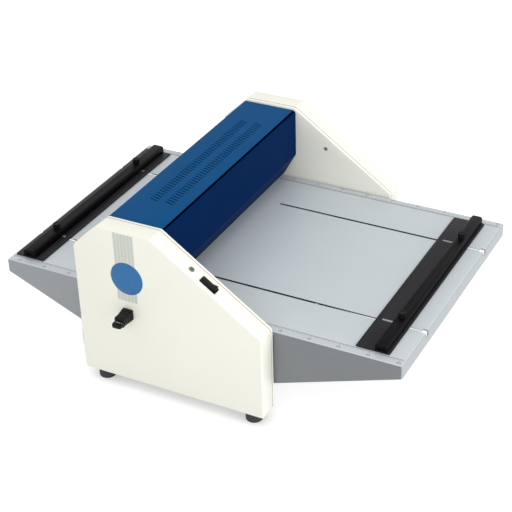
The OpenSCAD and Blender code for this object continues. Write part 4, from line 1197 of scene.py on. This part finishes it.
@dataclass
class Hood:
    """The folded blue hood on its rear hinge rod, with two rows of vents."""

    path: Sequence[Point2] = ((-125, 294), (-125, 304), (-19.5, 304), (-19.5, 214.5), (-44, 170.5))
    half: float = 236.5
    sheet: float = 2.0
    bend: float = 6.0
    rear_bend: float = 2.5
    vent: Point2 = (18.0, 2.5)
    vent_rows: Sequence[float] = (-56.0, -85.3)
    vents: int = 43
    pitch: float = 7.5
    slant: float = 15.0
    seam: Point2 = (10.0, 50.0)  # where the seam starts and ends round the front bend, in degrees
    front_x: float = -22.6  # the bend's faces beyond this belong to the hood's front
    front_z: float = 290.0  # so do all faces below this

    def build(self) -> None:
        """Builds the hood and dresses what hangs on it."""
        rear = self.path[1][0]
        leaf = Shape.sheet(self.path, Axis.Y, -self.half, self.half, 0)
        leaf.rounded(self.rear_bend, both(along(Axis.Y), level(Axis.X, rear)), 6)
        leaf.rounded(self.bend, both(along(Axis.Y), lambda e: e.verts[0].co.x > rear + 9), 6)
        leaf.facing_up().thickened(self.sheet)
        leaf.carved(*self.vent_cutters()).carved(self.seam_bar(self.bend - 1, self.bend + 1, 0))
        # The front and the bend before the seam get the deeper blue: painted shade.
        leaf.marked(1, self.in_front)
        leaf.piece("hood_leaf_sheet", HOOD_COAT, ["hood"], "hood_leaf", others=[HOOD_FRONT_SHADE])
        # A nearly black strip sits in the carved seam: painted shade.
        strip = self.seam_bar(self.bend - 1.05, self.bend - 0.5, 0.2)
        strip.piece("hood_seam_strip", HOOD_SEAM_SHADE, body="hood_leaf")
        machined(ZINC, ["hinge_brackets", "cover_magnet"], "hood_leaf", 0.5)
        machined(ZINC, ["hinge_rod"], edge=0.4)
        machined(HOOD_COAT, ["rear_panel"], edge=0.3)
        machined(BLACK_ABS, ["cover_sensor"], edge=0.6)

    def in_front(self, face: bmesh.types.BMFace) -> bool:
        """Tells whether a face lies in front of the seam.

        Args:
            face: The face.

        Returns:
            True where it lies on the hood's front or on the bend before the seam.
        """
        spot, rear_leg = face.calc_center_median(), self.path[-1][0] - self.bend
        return spot.x > rear_leg and (spot.z < self.front_z or spot.x > self.front_x)

    def seam_bar(self, low: float, high: float, inset: float) -> Shape:
        """Makes a bar that follows the seam along the front bend.

        Args:
            low: Its inner radius from the bend's centre.
            high: Its outer radius.
            inset: How far it stays inside the seam's edges and ends.

        Returns:
            The bar.
        """
        x, z = self.path[2][0] - self.bend, self.path[2][1] - self.bend
        start, end = self.seam[0] + 8 * inset, self.seam[1] - 8 * inset
        turns = [math.radians(start + (end - start) * k / 4) for k in range(5)]
        arcs = [(low, turns), (high, turns[::-1])]
        outline = [(x + r * math.sin(a), z + r * math.cos(a)) for r, angles in arcs for a in angles]
        reach = self.half + 1 - 2.5 * inset
        return Shape.prism(outline, Axis.Y, -reach, reach)

    def vent_cutters(self) -> list[Shape]:
        """Makes one cutter for each vent.

        Returns:
            The cutters.
        """
        (length, width), top = self.vent, self.path[1][1]
        turn = Matrix.Rotation(-math.radians(self.slant), 4, "Z")
        cutters = []
        for x in self.vent_rows:
            for i in range(self.vents):
                cutter = Shape.box((-length / 2, -width / 2, top - 4), (length / 2, width / 2, top + 2))
                place = Matrix.Translation((x, (i - (self.vents - 1) / 2) * self.pitch, 0))
                cutters.append(cutter.rounded(1.1, along(Axis.Z), 2).moved(place @ turn))
        return cutters


@dataclass(frozen=True)
class StopSize:
    """Sizes of one sliding stop.

    Attributes:
        name: Which table it lies on.
        strip: Where its thin strip starts and ends.
        rail: Where its rail starts and ends.
        screw: Where its clamp screws stand.
        slot: Where the strip's short slots start and end.
    """

    name: str
    strip: Point2
    rail: Point2
    screw: float
    slot: Point2


@dataclass
class Stops:
    """The two sliding stops: thin strip, hollow rail, clamp knobs and T-nuts."""

    half: float = 216.5
    strip_z: Point2 = (165.8, 167.8)
    rail_z: float = 180.5
    hollow: Point2 = (13.0, 6.5)
    rail_round: float = 4.5
    screw_y: float = 133.5
    slot_w: float = 4.5
    knob_r: float = 6.25
    knob_z: Point2 = (180.8, 191.3)
    ridges: int = 36
    sizes: Sequence[StopSize] = (
        StopSize("infeed", (302.4, 359.4), (334.5, 354.5), 346.0, (312.15, 352.25)),
        StopSize("outfeed", (-337.6, -281.5), (-321.0, -297.5), -308.0, (-314.25, -291.25)),
    )

    def build(self) -> None:
        """Builds both stops."""
        for size in self.sizes:
            body = f"{size.name}_stop"
            self.build_strip(size, body)
            self.build_rail(size, body)
            machined(ZINC, [f"{size.name}_t_nuts"], body, 0.3)
            for side in Side:
                self.build_knob(size, side)

    def build_strip(self, size: StopSize, body: str) -> None:
        """Builds the thin strip with its two short slots.

        Args:
            size: The stop's sizes.
            body: The stop's body.
        """
        (low, high), half = self.strip_z, self.slot_w / 2
        strip = Shape.box((size.strip[0], -self.half, low), (size.strip[1], self.half, high))
        strip.rounded(2.0, along(Axis.Z), 3).softened(0.3, 2, 60)
        cutters = []
        for side in Side:
            y = side.value * self.screw_y
            cutter = Shape.box((size.slot[0], y - half, low - 1), (size.slot[1], y + half, high + 1))
            cutters.append(cutter.rounded(half * 0.98, along(Axis.Z), 6))
        # The slots' walls get the painted highlight.
        strip.carved(*cutters).marked(1, self.in_slot)
        nodes = [f"{size.name}_stop_strip"]
        strip.piece(f"{size.name}_strip", ANODISED, nodes, body, others=[SLOT_WALL_HIGHLIGHT])

    def in_slot(self, face: bmesh.types.BMFace) -> bool:
        """Tells whether a face is the wall of one of the strip's slots.

        Args:
            face: The face.

        Returns:
            True where it is a wall of one of the two short slots.
        """
        spot = face.calc_center_median()
        return abs(face.normal.z) < 0.3 and abs(abs(spot.y) - self.screw_y) < self.slot_w / 2 + 0.1

    def build_rail(self, size: StopSize, body: str) -> None:
        """Builds the hollow rail with rounded top edges.

        Args:
            size: The stop's sizes.
            body: The stop's body.
        """
        (x0, x1), bottom, top = size.rail, self.strip_z[1], self.rail_z
        middle, half, roof = (x0 + x1) / 2, self.hollow[0] / 2, bottom + self.hollow[1]
        left, right = middle - half, middle + half
        outline = [(x0, bottom), (x0, top), (x1, top), (x1, bottom)]
        outline += [(right, bottom), (right, roof), (left, roof), (left, bottom)]
        rail = Shape.prism(outline, Axis.Y, -self.half, self.half)
        rail.rounded(self.rail_round, both(along(Axis.Y), level(Axis.Z, top)), 6)
        rail.rounded(0.4, both(along(Axis.Y), level(Axis.Z, bottom)), 2)
        rail.rounded(0.5, either(level(Axis.Y, -self.half), level(Axis.Y, self.half)), 2)
        spots = [(size.screw, side.value * self.screw_y) for side in Side]
        rail.carved(*(Shape.rod(Axis.Z, p, 2.2, bottom, top + 1, 24) for p in spots))
        rail.piece(f"{size.name}_rail", DEEP_ANODISED, [f"{size.name}_stop_rail"], body)

    def build_knob(self, size: StopSize, side: Side) -> None:
        """Builds one knurled clamp knob on its screw.

        Args:
            size: The stop's sizes.
            side: Which side it is on.
        """
        (low, high), y, r = self.knob_z, side.value * self.screw_y, self.knob_r
        knob = Shape.rod(Axis.Z, (size.screw, y), r, low, high, 2 * self.ridges)
        middle = Vector((size.screw, y))
        for vert in knob.mesh.verts:
            arm = vert.co.xy - middle
            if round(math.atan2(arm.y, arm.x) / math.tau * 2 * self.ridges) % 2:
                vert.co.xy = middle + arm * (1 - 0.5 / r)
        for height, inward in ((high, 0.7), (low, 0.5)):
            rim = [e for e in knob.mesh.edges if level(Axis.Z, height)(e)]
            knob.bevelled(rim, inward, 1)
        caps = [f for f in knob.mesh.faces if len(f.verts) > 20 and f.normal.z > 0.9]
        bmesh.ops.inset_region(knob.mesh, faces=caps, thickness=1.6, depth=0)
        bmesh.ops.inset_region(knob.mesh, faces=caps, thickness=0.4, depth=-0.8)
        knob.add(Shape.rod(Axis.Z, (size.screw, y), 2.0, 157.0, low + 1, 24).softened(0.3))
        name, body = f"{size.name}_knob_{side.label}", f"{size.name}_clamp_{side.label}"
        knob.piece(f"{name}_knurled", BLACK_ABS, [name], body, 20)


@dataclass
class CreaseHead:
    """The lower beam with its matrix, and the beam that lifts and lowers the crease blade."""

    plated: Sequence[str] = ("lift_plate_near", "lift_plate_far", "lift_screws", "holder_screws")

    def build(self) -> None:
        """Builds the head's pieces from copies of the CAD with broken edges."""
        machined(BEAM_COAT, ["lower_beam"], edge=0.8)
        machined(GROUND, ["crease_matrix"], edge=0.3)
        machined(ZINC, ["beam_bolts"], edge=0.4)
        machined(BRONZE, ["guide_gibs"], edge=0.4)
        machined(BEAM_COAT, ["upper_beam"], "crease_lift", 0.8)
        machined(ZINC, self.plated, "crease_lift", 0.4)
        machined(ANODISED, ["blade_holder"], "crease_lift", 0.4)
        machined(GROUND, ["crease_blade"], "crease_lift", 0.15)
        machined(RUBBER, ["ejector_rubbers"], "crease_lift", 0.4)


@dataclass
class Drive:
    """The eccentric shaft with its gear, and the gear motor on its bracket."""

    motor_x: float = -17.0
    motor_z: float = 78.0
    motor_r: float = 33.0
    motor_y: Point2 = (-165.0, -45.0)
    box_r: float = 38.0
    box_y: Point2 = (-205.0, -165.0)

    def build(self) -> None:
        """Builds the drive."""
        machined(ZINC, ["eccentric_shaft", "retaining_rings"], "drive_shaft", 0.4)
        machined(HOBBED, ["eccentric_near", "eccentric_far"], "drive_shaft", 0.4)
        machined(BRONZE, ["shaft_bushes"], edge=0.3)
        machined(ZINC, ["motor_bracket", "base_plate", "tie_bars"], edge=0.5)
        dress(HOBBED, "drive_gear", "motor_pinion")
        self.build_motor()
        self.build_gearbox()

    def build_motor(self) -> None:
        """Turns the motor: a can with cooling grooves, an end bell and two brush caps."""
        (y0, y1), r, centre = self.motor_y, self.motor_r, (self.motor_x, self.motor_z)
        profile = [(0, y0), (r - 1, y0), (r, y0 + 1), (r, y0 + 14)]
        for i in range(8):
            at = y0 + 18 + i * 9
            profile += [(r, at), (r - 1.6, at + 0.8), (r - 1.6, at + 3.2), (r, at + 4)]
        profile += [(r, y1 - 14), (r - 1, y1 - 12), (r - 4, y1 - 12), (r - 4, y1 - 1.5), (r - 5.5, y1)]
        profile += [(10, y1), (9, y1 - 2), (0, y1 - 2)]
        motor = Shape.turned(profile, Axis.Y, centre, 64)
        cap = [(0, y1 - 1), (4, y1 - 1), (4, y1 + 3), (3.2, y1 + 4), (1.5, y1 + 4), (1.5, y1 + 3)]
        cap += [(0, y1 + 3)]
        for side in Side:
            motor.add(Shape.turned(cap, Axis.Y, (centre[0] + side.value * (r - 12), centre[1]), 24))
        motor.piece("motor_can", MOTOR_COAT, ["motor_body"])

    def build_gearbox(self) -> None:
        """Turns the gearbox with its parting line, spigot and cover screws."""
        (y0, y1), r, centre = self.box_y, self.box_r, (self.motor_x, self.motor_z)
        profile = [(4.05, y0 + 14), (4.05, y0 - 5), (8.6, y0 - 5), (9, y0 - 4.6), (9, y0), (r - 1.2, y0)]
        profile += [(r, y0 + 1.2), (r, y0 + 11), (r - 0.8, y0 + 11.6), (r - 0.8, y0 + 12.6), (r, y0 + 13.2)]
        profile += [(r, y1 - 2), (r - 2, y1), (0, y1), (0, y0 + 14)]
        box = Shape.turned(profile, Axis.Y, centre, 64)
        for k in range(6):
            turn = math.tau * k / 6
            spot = (centre[0] + (r - 2.2) * math.cos(turn), centre[1] + (r - 2.2) * math.sin(turn))
            box.add(Shape.rod(Axis.Y, spot, 1.9, y1 - 0.5, y1 + 1.6, 6))
        box.piece("gearbox_housing", CAST_ALLOY, ["gearbox"])


@dataclass
class Controls:
    """Selector knob, pilot lamp, rocker switch, control board and the sockets of the near side."""

    plan: Plan
    bezel: float = 1.5
    rocker: Point2 = (32.7, 15.0)
    swing: float = 24.0
    lamp_r: float = 5.0
    grip: Point2 = (-5.0, 1.0)
    reach: float = 40.0
    steps: Sequence[tuple[float, float, float, float]] = (  # half width, near end, far end and corner
        (9.5, 0, 8, 2), (8.8, 7.8, 16, 2), (8.5, 15.8, 29, 2.5),
    )
    grip_half: float = 8.5
    mark_x: Point2 = (-5.5, 3.5)  # ends of the white line on the grip
    dot_x: float = 6.0
    mark_y: float = 30.5  # from the cover's face to the middle of the white line
    pins: tuple[Point2, float, float] = ((-170.5, -157.0), 5.5, 9.5)  # their X, half their Y, half their Z
    board: Sequence[Point2] = ((20.0, 68.0), (120.0, 138.0), (-252.1, -250.5))
    board_parts: Sequence[tuple[str, Point2, Point2, Point2, float, Finish]] = (
        ("transformer_core", (30, 60), (-13, 0), (80, 106), 0.6, HOBBED),
        ("transformer_coil", (34, 56), (-16, -12.8), (84, 102), 1.2, GREY_ABS),
        ("relay_case", (70, 82), (-12, 0), (78, 108), 0.8, GLOSS_ABS),
    )
    capacitor: tuple[Point2, float, float] = ((96.0, 92.0), 6.0, 15.0)  # its middle, radius and height
    terminals: int = 6
    terminal_at: Point2 = (32.0, 126.0)
    terminal: Point2 = (8.0, 10.0)
    terminal_pitch: float = 9.0

    def build(self) -> None:
        """Builds the controls."""
        self.build_selector()
        self.build_lamp()
        self.build_housing()
        self.build_rocker()
        machined(BLACK_ABS, ["selector_switch"], edge=0.4)
        Shape.copy_of("mains_inlet").softened(0.4, 1, 50).marked(1, self.is_pin).piece(
            "mains_inlet_part", BLACK_ABS, ["mains_inlet"], others=[BRASS_PLATE]
        )
        machined(BLACK_ABS, ["pedal_socket"], edge=0.5)
        self.build_board()

    def is_pin(self, face: bmesh.types.BMFace) -> bool:
        """Tells whether a face belongs to one of the mains inlet's three pins.

        Args:
            face: The face.

        Returns:
            True where it lies on one of the pins.
        """
        spot, ((x0, x1), across, high) = face.calc_center_median(), self.pins
        within = abs(spot.y - self.plan.switch_y) < across and abs(spot.z - self.plan.inlet_z) < high
        return within and x0 < spot.x < x1

    def build_selector(self) -> None:
        """Builds the stepped selector knob: three square steps and a flat grip."""
        x, z = self.plan.selector
        out = -self.plan.side_out - 0.3
        knob = Shape()
        for half, near, far, corner in self.steps:
            square = [(x - half, z - half), (x + half, z - half), (x + half, z + half), (x - half, z + half)]
            step = Shape.prism(square, Axis.Y, out - far, out - near)
            knob.add(step.rounded(corner, along(Axis.Y), 4).softened(0.5, 2, 60))
        low, high = z + self.grip[0], z + self.grip[1]
        tip = -self.plan.side_out - self.reach
        grip = Shape.box((x - self.grip_half, tip, low), (x + self.grip_half, out - 28, high))
        grip.rounded(4, both(along(Axis.Z), level(Axis.Y, tip)), 5).softened(0.6, 2, 60)
        knob.add(grip, Shape.rod(Axis.Y, (x, z), 3, out - 1, out + 12.5, 24))
        knob.piece("selector_grip", BLACK_ABS, ["selector_knob"], "selector")
        middle, (start, end) = out - self.mark_y, self.mark_x
        line = Shape.box((x + start, middle - 0.5, high - 0.1), (x + end, middle + 0.5, high + 0.1))
        dot = Shape.rod(Axis.Z, (x + self.dot_x, middle), 0.8, high - 0.1, high + 0.1, 16)
        line.add(dot).piece("selector_marks", PALE_GRIP_LINE, body="selector")

    def build_lamp(self) -> None:
        """Turns the pilot lamp's grey bezel and green lens."""
        place, r, top = self.plan.on_slope(self.plan.lamp_at), self.lamp_r, self.bezel
        ring = [(0, -18), (r - 1, -18), (r - 1, 0), (r, 0), (r, top - 0.6), (r - 0.5, top), (r - 1, top)]
        ring += [(r - 1.3, top - 0.6), (0, top - 0.6)]
        Shape.turned(ring, Axis.Z, (0, 0), 40).moved(place).piece("lamp_bezel", GREY_ABS, ["pilot_lamp"])
        dome = [(0, top - 0.7), (r - 1.3, top - 0.7), (r - 1.3, top + 0.2), (r - 2.2, top + 0.8)]
        dome += [(0, top + 1)]
        Shape.turned(dome, Axis.Z, (0, 0), 40).moved(place).piece("lamp_lens", LENS)

    def build_housing(self) -> None:
        """Builds the rocker switch's housing with a rounded bezel."""
        place, (length, width) = self.plan.on_slope(self.plan.rocker_at), self.rocker
        half, wide = length / 2, width / 2
        bezel = Shape.box((-half, -wide, 0), (half, wide, self.bezel))
        bezel.rounded(1.5, along(Axis.Z), 3).rounded(0.6, level(Axis.Z, self.bezel), 3)
        well = Shape.box((-half + 0.9, -wide + 0.7, -22), (half - 0.9, wide - 0.7, 0.2))
        hollow = Shape.box((-half + 1.9, -wide + 1.9, -14), (half - 1.9, wide - 1.9, 16))
        housing = bezel.merged(well).carved(hollow)
        housing.moved(place).piece("rocker_housing", BLACK_ABS, ["switch_housing"])

    def build_rocker(self) -> None:
        """Builds the rocker with two slanted pads that meet in a valley."""
        reach, wide = (size / 2 - 2.2 for size in self.rocker)
        half_swing = math.radians(self.swing / 2)
        rise = reach * math.tan(half_swing)
        outline = [(-reach, 3 + rise), (0, 3), (reach, 3 + rise), (reach, 0), (6, -7), (-6, -7), (-reach, 0)]
        paddle = Shape.prism(outline, Axis.Y, -wide, wide).softened(0.35, 2, 20)
        tilt = Matrix.Translation((0, 0, self.bezel - 3)) @ Matrix.Rotation(-half_swing, 4, "Y")
        place = self.plan.on_slope(self.plan.rocker_at) @ tilt
        paddle.moved(place).piece("rocker_paddle", GLOSS_ABS, ["power_rocker"], "rocker")
        at = reach * 0.55
        bar = Shape.box((-0.4, -2, 0), (0.4, 2, 0.12))
        for name, x, shape in (("on", -at, bar), ("off", at, self.ring())):
            lift = Matrix.Translation((x, 0, 3 + rise * at / reach))
            lean = Matrix.Rotation(math.copysign(half_swing, -x), 4, "Y")
            shape.moved(place @ lift @ lean).piece(f"rocker_mark_{name}", RUBBED_ABS, body="rocker")

    def ring(self) -> Shape:
        """A thin printed ring."""
        return Shape.turned([(1.5, 0), (2.1, 0), (2.1, 0.12), (1.5, 0.12), (1.5, 0)], Axis.Z, (0, 0), 24)

    def build_board(self) -> None:
        """Builds the control board with its parts in their own finishes."""
        (x0, z0), (x1, z1), (low, high) = self.board
        board = Shape.box((x0, low, z0), (x1, high, z1)).softened(0.2, 1)
        corners = [(x, z) for x in (x0 + 5, x1 - 5) for z in (z0 + 5, z1 - 5)]
        board.carved(*(Shape.rod(Axis.Y, p, 1.6, low - 1, high + 1, 16) for p in corners))
        board.piece("control_board_sheet", FR4, ["control_board"])
        posts = (Shape.rod(Axis.Y, p, 3, high, -self.plan.frame_out, 24).softened(0.3) for p in corners)
        Shape().add(*posts).piece("board_posts", ZINC)
        for name, (xa, xb), (ya, yb), (za, zb), soft, finish in self.board_parts:
            Shape.box((xa, low + ya, za), (xb, low + yb, zb)).softened(soft).piece(name, finish)
        spot, radius, height = self.capacitor
        can = Shape.rod(Axis.Y, spot, radius, low - height, low, 32).softened(0.7)
        can.piece("capacitor_can", MOTOR_COAT)
        blocks, z, (wide, tall) = Shape(), self.terminal_at[1], self.terminal
        for k in range(self.terminals):
            x = self.terminal_at[0] + k * self.terminal_pitch
            block = Shape.box((x, low - 9, z), (x + wide, low, z + tall)).softened(0.4)
            hole = Shape.rod(Axis.Y, (x + wide / 2, z + tall / 2), 2, low - 10, low - 3, 16)
            blocks.add(block.carved(hole))
        blocks.piece("terminal_blocks", GREY_ABS)


# ---- studio ---------------------------------------------------------------------------------------------


@dataclass(frozen=True)
class Lamp:
    """One square soft lamp.

    Attributes:
        name: The lamp's name.
        at: Where it hangs, in the frame's m.
        target: What it points at.
        size: Its edge length.
        watts: Its power.
    """

    name: str
    at: Point3
    target: Point3
    size: float
    watts: float


@dataclass
class Studio:
    """Floor, lamps, world and camera."""

    camera_at: Point3 = (0.9758, -1.8048, 1.4160)
    azimuth: float = 28.28
    elevation: float = 31.76
    roll: float = -1.75
    lens: float = 97.5
    world_light: float = 0.68
    floor_half: float = 9.0
    floor_pale: Point2 = (0.8, 0.4)  # the floor's own grey to the object's light and to the eye
    floor_glow: float = 0.8
    contact: float = 0.04  # how near a piece has to be to the floor, in m, to shade it
    contact_open: Point2 = (0.1, 0.9)  # how open the floor is where the shade is deepest and where it ends
    contact_low: float = 0.4  # how much of the glow the deepest shade leaves
    shaded: Sequence[Point2] = ((-0.26, 0.14), (0.0, 0.4))  # the shaded floor in X and Y, in the frame's m
    shade_edges: Point2 = (0.06, 0.07)  # half the width of the shade's soft edges across X and Y
    lamps: Sequence[Lamp] = (
        Lamp("overhead", (-0.3, -0.2, 2.6), (0, 0, 0.2), 2.6, 15),
        Lamp("front", (0.5, -2.5, 1.3), (0, 0, 0.15), 1.8, 18),
        Lamp("right", (2.6, -0.2, 0.7), (0, 0, 0.15), 1.6, 44),
        Lamp("rear_left", (-2.2, 0.9, 1.3), (0, 0, 0.25), 1.4, 10),
    )

    def build(self) -> None:
        """Builds the studio."""
        view = bpy.context.scene.view_settings
        view.view_transform = "Standard"
        self.build_world()
        self.build_floor()
        self.build_lamps()
        self.build_camera()

    def seen(self, tree: bpy.types.NodeTree) -> bpy.types.NodeSocket:
        """Tells rays that show the background from those that light the object.

        Args:
            tree: The node tree.

        Returns:
            A socket that is 1 for camera, glossy and transmission rays.
        """
        path = add_node(tree, "LightPath").outputs
        first = add_node(
            tree, "Math", {"operation": "MAXIMUM"}, {0: path["Is Camera Ray"], 1: path["Is Glossy Ray"]}
        )
        return add_node(
            tree, "Math", {"operation": "MAXIMUM"}, {0: first.outputs[0], 1: path["Is Transmission Ray"]}
        ).outputs[0]

    def build_world(self) -> None:
        """Makes a white world that lights the object at a plain level."""
        world = bpy.data.worlds.new("studio")
        bpy.context.scene.world = world
        world.use_nodes = True
        tree = world.node_tree
        tree.nodes.clear()
        light = {"To Min": self.world_light, "To Max": 1.0}
        strength = add_node(tree, "MapRange", light, {"Value": self.seen(tree)}).outputs[0]
        back = add_node(tree, "Background", {"Color": (1, 1, 1, 1)}, {"Strength": strength})
        add_node(tree, "OutputWorld", None, {"Surface": back.outputs[0]})

    def build_floor(self) -> None:
        """Lays a pale floor that shows white where nothing shades it, and greyer right under the machine."""
        floor = Shape()
        bmesh.ops.create_grid(floor.mesh, x_segments=1, y_segments=1, size=self.floor_half)
        obj = floor.carrier("floor")
        made = bpy.data.materials.new("white_paper_sweep")
        made.use_nodes = True
        tree = made.node_tree
        tree.nodes.clear()
        place, seen = add_node(tree, "TexCoord").outputs["Object"], self.seen(tree)
        fibre = add_node(tree, "TexNoise", {"Scale": 900.0}, {"Vector": place}).outputs[0]
        bump = add_node(tree, "Bump", {"Strength": 0.2, "Distance": 0.0002}, {"Height": fibre}).outputs[0]
        greys = dict(zip(("To Min", "To Max"), self.floor_pale))
        pale = add_node(tree, "MapRange", greys, {"Value": seen}).outputs[0]
        grey = add_node(tree, "CombineColor", None, {0: pale, 1: pale, 2: pale}).outputs[0]
        plain = add_node(tree, "BsdfDiffuse", None, {"Color": grey, "Normal": bump}).outputs[0]
        level = {"operation": "MULTIPLY", 1: self.floor_glow}
        lift = add_node(tree, "Math", level, {0: self.outside(tree, place)}).outputs[0]
        near = add_node(tree, "AmbientOcclusion", {"samples": 8, "Distance": self.contact}).outputs["AO"]
        spread = dict(zip(("From Min", "From Max", "To Min"), (*self.contact_open, self.contact_low)))
        soft = add_node(tree, "MapRange", spread, {"Value": near}).outputs[0]
        lift = add_node(tree, "Math", {"operation": "MULTIPLY"}, {0: lift, 1: soft}).outputs[0]
        shown = add_node(tree, "Math", {"operation": "MULTIPLY"}, {0: lift, 1: seen}).outputs[0]
        glow = add_node(tree, "Emission", {"Color": (1, 1, 1, 1)}, {"Strength": shown}).outputs[0]
        both = add_node(tree, "AddShader", None, {0: plain, 1: glow}).outputs[0]
        add_node(tree, "OutputMaterial", None, {"Surface": both})
        obj.data.materials.append(made)

    def outside(self, tree: bpy.types.NodeTree, place: bpy.types.NodeSocket) -> bpy.types.NodeSocket:
        """Tells the open floor from the shaded floor right under the machine.

        Args:
            tree: The floor's node tree.
            place: Where a point of the floor lies.

        Returns:
            A socket that is 1 on the open floor and 0 under the machine, soft in between.
        """
        spot = add_node(tree, "SeparateXYZ", None, {0: place}).outputs
        within: list[bpy.types.NodeSocket] = []
        for axis, (low, high), soft in zip((0, 1), self.shaded, self.shade_edges):
            off = {"operation": "SUBTRACT", 1: (low + high) / 2}
            middle = add_node(tree, "Math", off, {0: spot[axis]}).outputs[0]
            away = add_node(tree, "Math", {"operation": "ABSOLUTE"}, {0: middle}).outputs[0]
            edge = {"From Min": (high - low) / 2 - soft, "From Max": (high - low) / 2 + soft}
            edge |= {"interpolation_type": "SMOOTHSTEP", "To Min": 1.0, "To Max": 0.0}
            within.append(add_node(tree, "MapRange", edge, {"Value": away}).outputs[0])
        under = add_node(tree, "Math", {"operation": "MULTIPLY"}, dict(enumerate(within))).outputs[0]
        return add_node(tree, "Math", {"operation": "SUBTRACT", 0: 1.0}, {1: under}).outputs[0]

    def build_lamps(self) -> None:
        """Hangs the soft lamps: overhead, in front, on the right and behind on the left."""
        for lamp in self.lamps:
            self.add_lamp(lamp)

    def add_lamp(self, lamp: Lamp) -> None:
        """Adds one square soft lamp.

        Args:
            lamp: The lamp's sizes and place.
        """
        data = bpy.data.lights.new(lamp.name, "AREA")
        data.shape, data.size, data.energy = "SQUARE", lamp.size, lamp.watts
        obj = bpy.data.objects.new(lamp.name, data)
        obj.location = lamp.at
        obj.rotation_mode = "QUATERNION"
        obj.rotation_quaternion = (Vector(lamp.target) - Vector(lamp.at)).to_track_quat("-Z", "Y")
        bpy.context.scene.collection.objects.link(obj)

    def build_camera(self) -> None:
        """Puts the camera at the photograph's view."""
        az, el, roll = (math.radians(a) for a in (self.azimuth, self.elevation, self.roll))
        back = Vector((math.sin(az) * math.cos(el), -math.cos(az) * math.cos(el), math.sin(el)))
        right = (-back).cross(Vector((0, 0, 1))).normalized()
        up = right.cross(-back)
        across = math.cos(roll) * right + math.sin(roll) * up
        upright = -math.sin(roll) * right + math.cos(roll) * up
        data = bpy.data.cameras.new("camera")
        data.lens, data.sensor_width, data.dof.use_dof = self.lens, 36, False
        camera = bpy.data.objects.new("camera", data)
        turn = Matrix((across, upright, back)).transposed().to_4x4()
        camera.matrix_world = Matrix.Translation(self.camera_at) @ turn
        bpy.context.scene.collection.objects.link(camera)
        bpy.context.scene.camera = camera


def main() -> None:
    """Builds the studio and every sub-assembly."""
    logging.basicConfig(level=logging.INFO, format="%(name)s: %(message)s")
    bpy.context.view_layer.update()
    plan = Plan()
    Studio().build()
    for part in (Sides(plan), Tables(plan), CreaseHead(), Drive(), Hood(), Stops(), Controls(plan)):
        part.build()
        LOG.info("%s done", type(part).__name__)


if __name__ == "__main__":
    main()
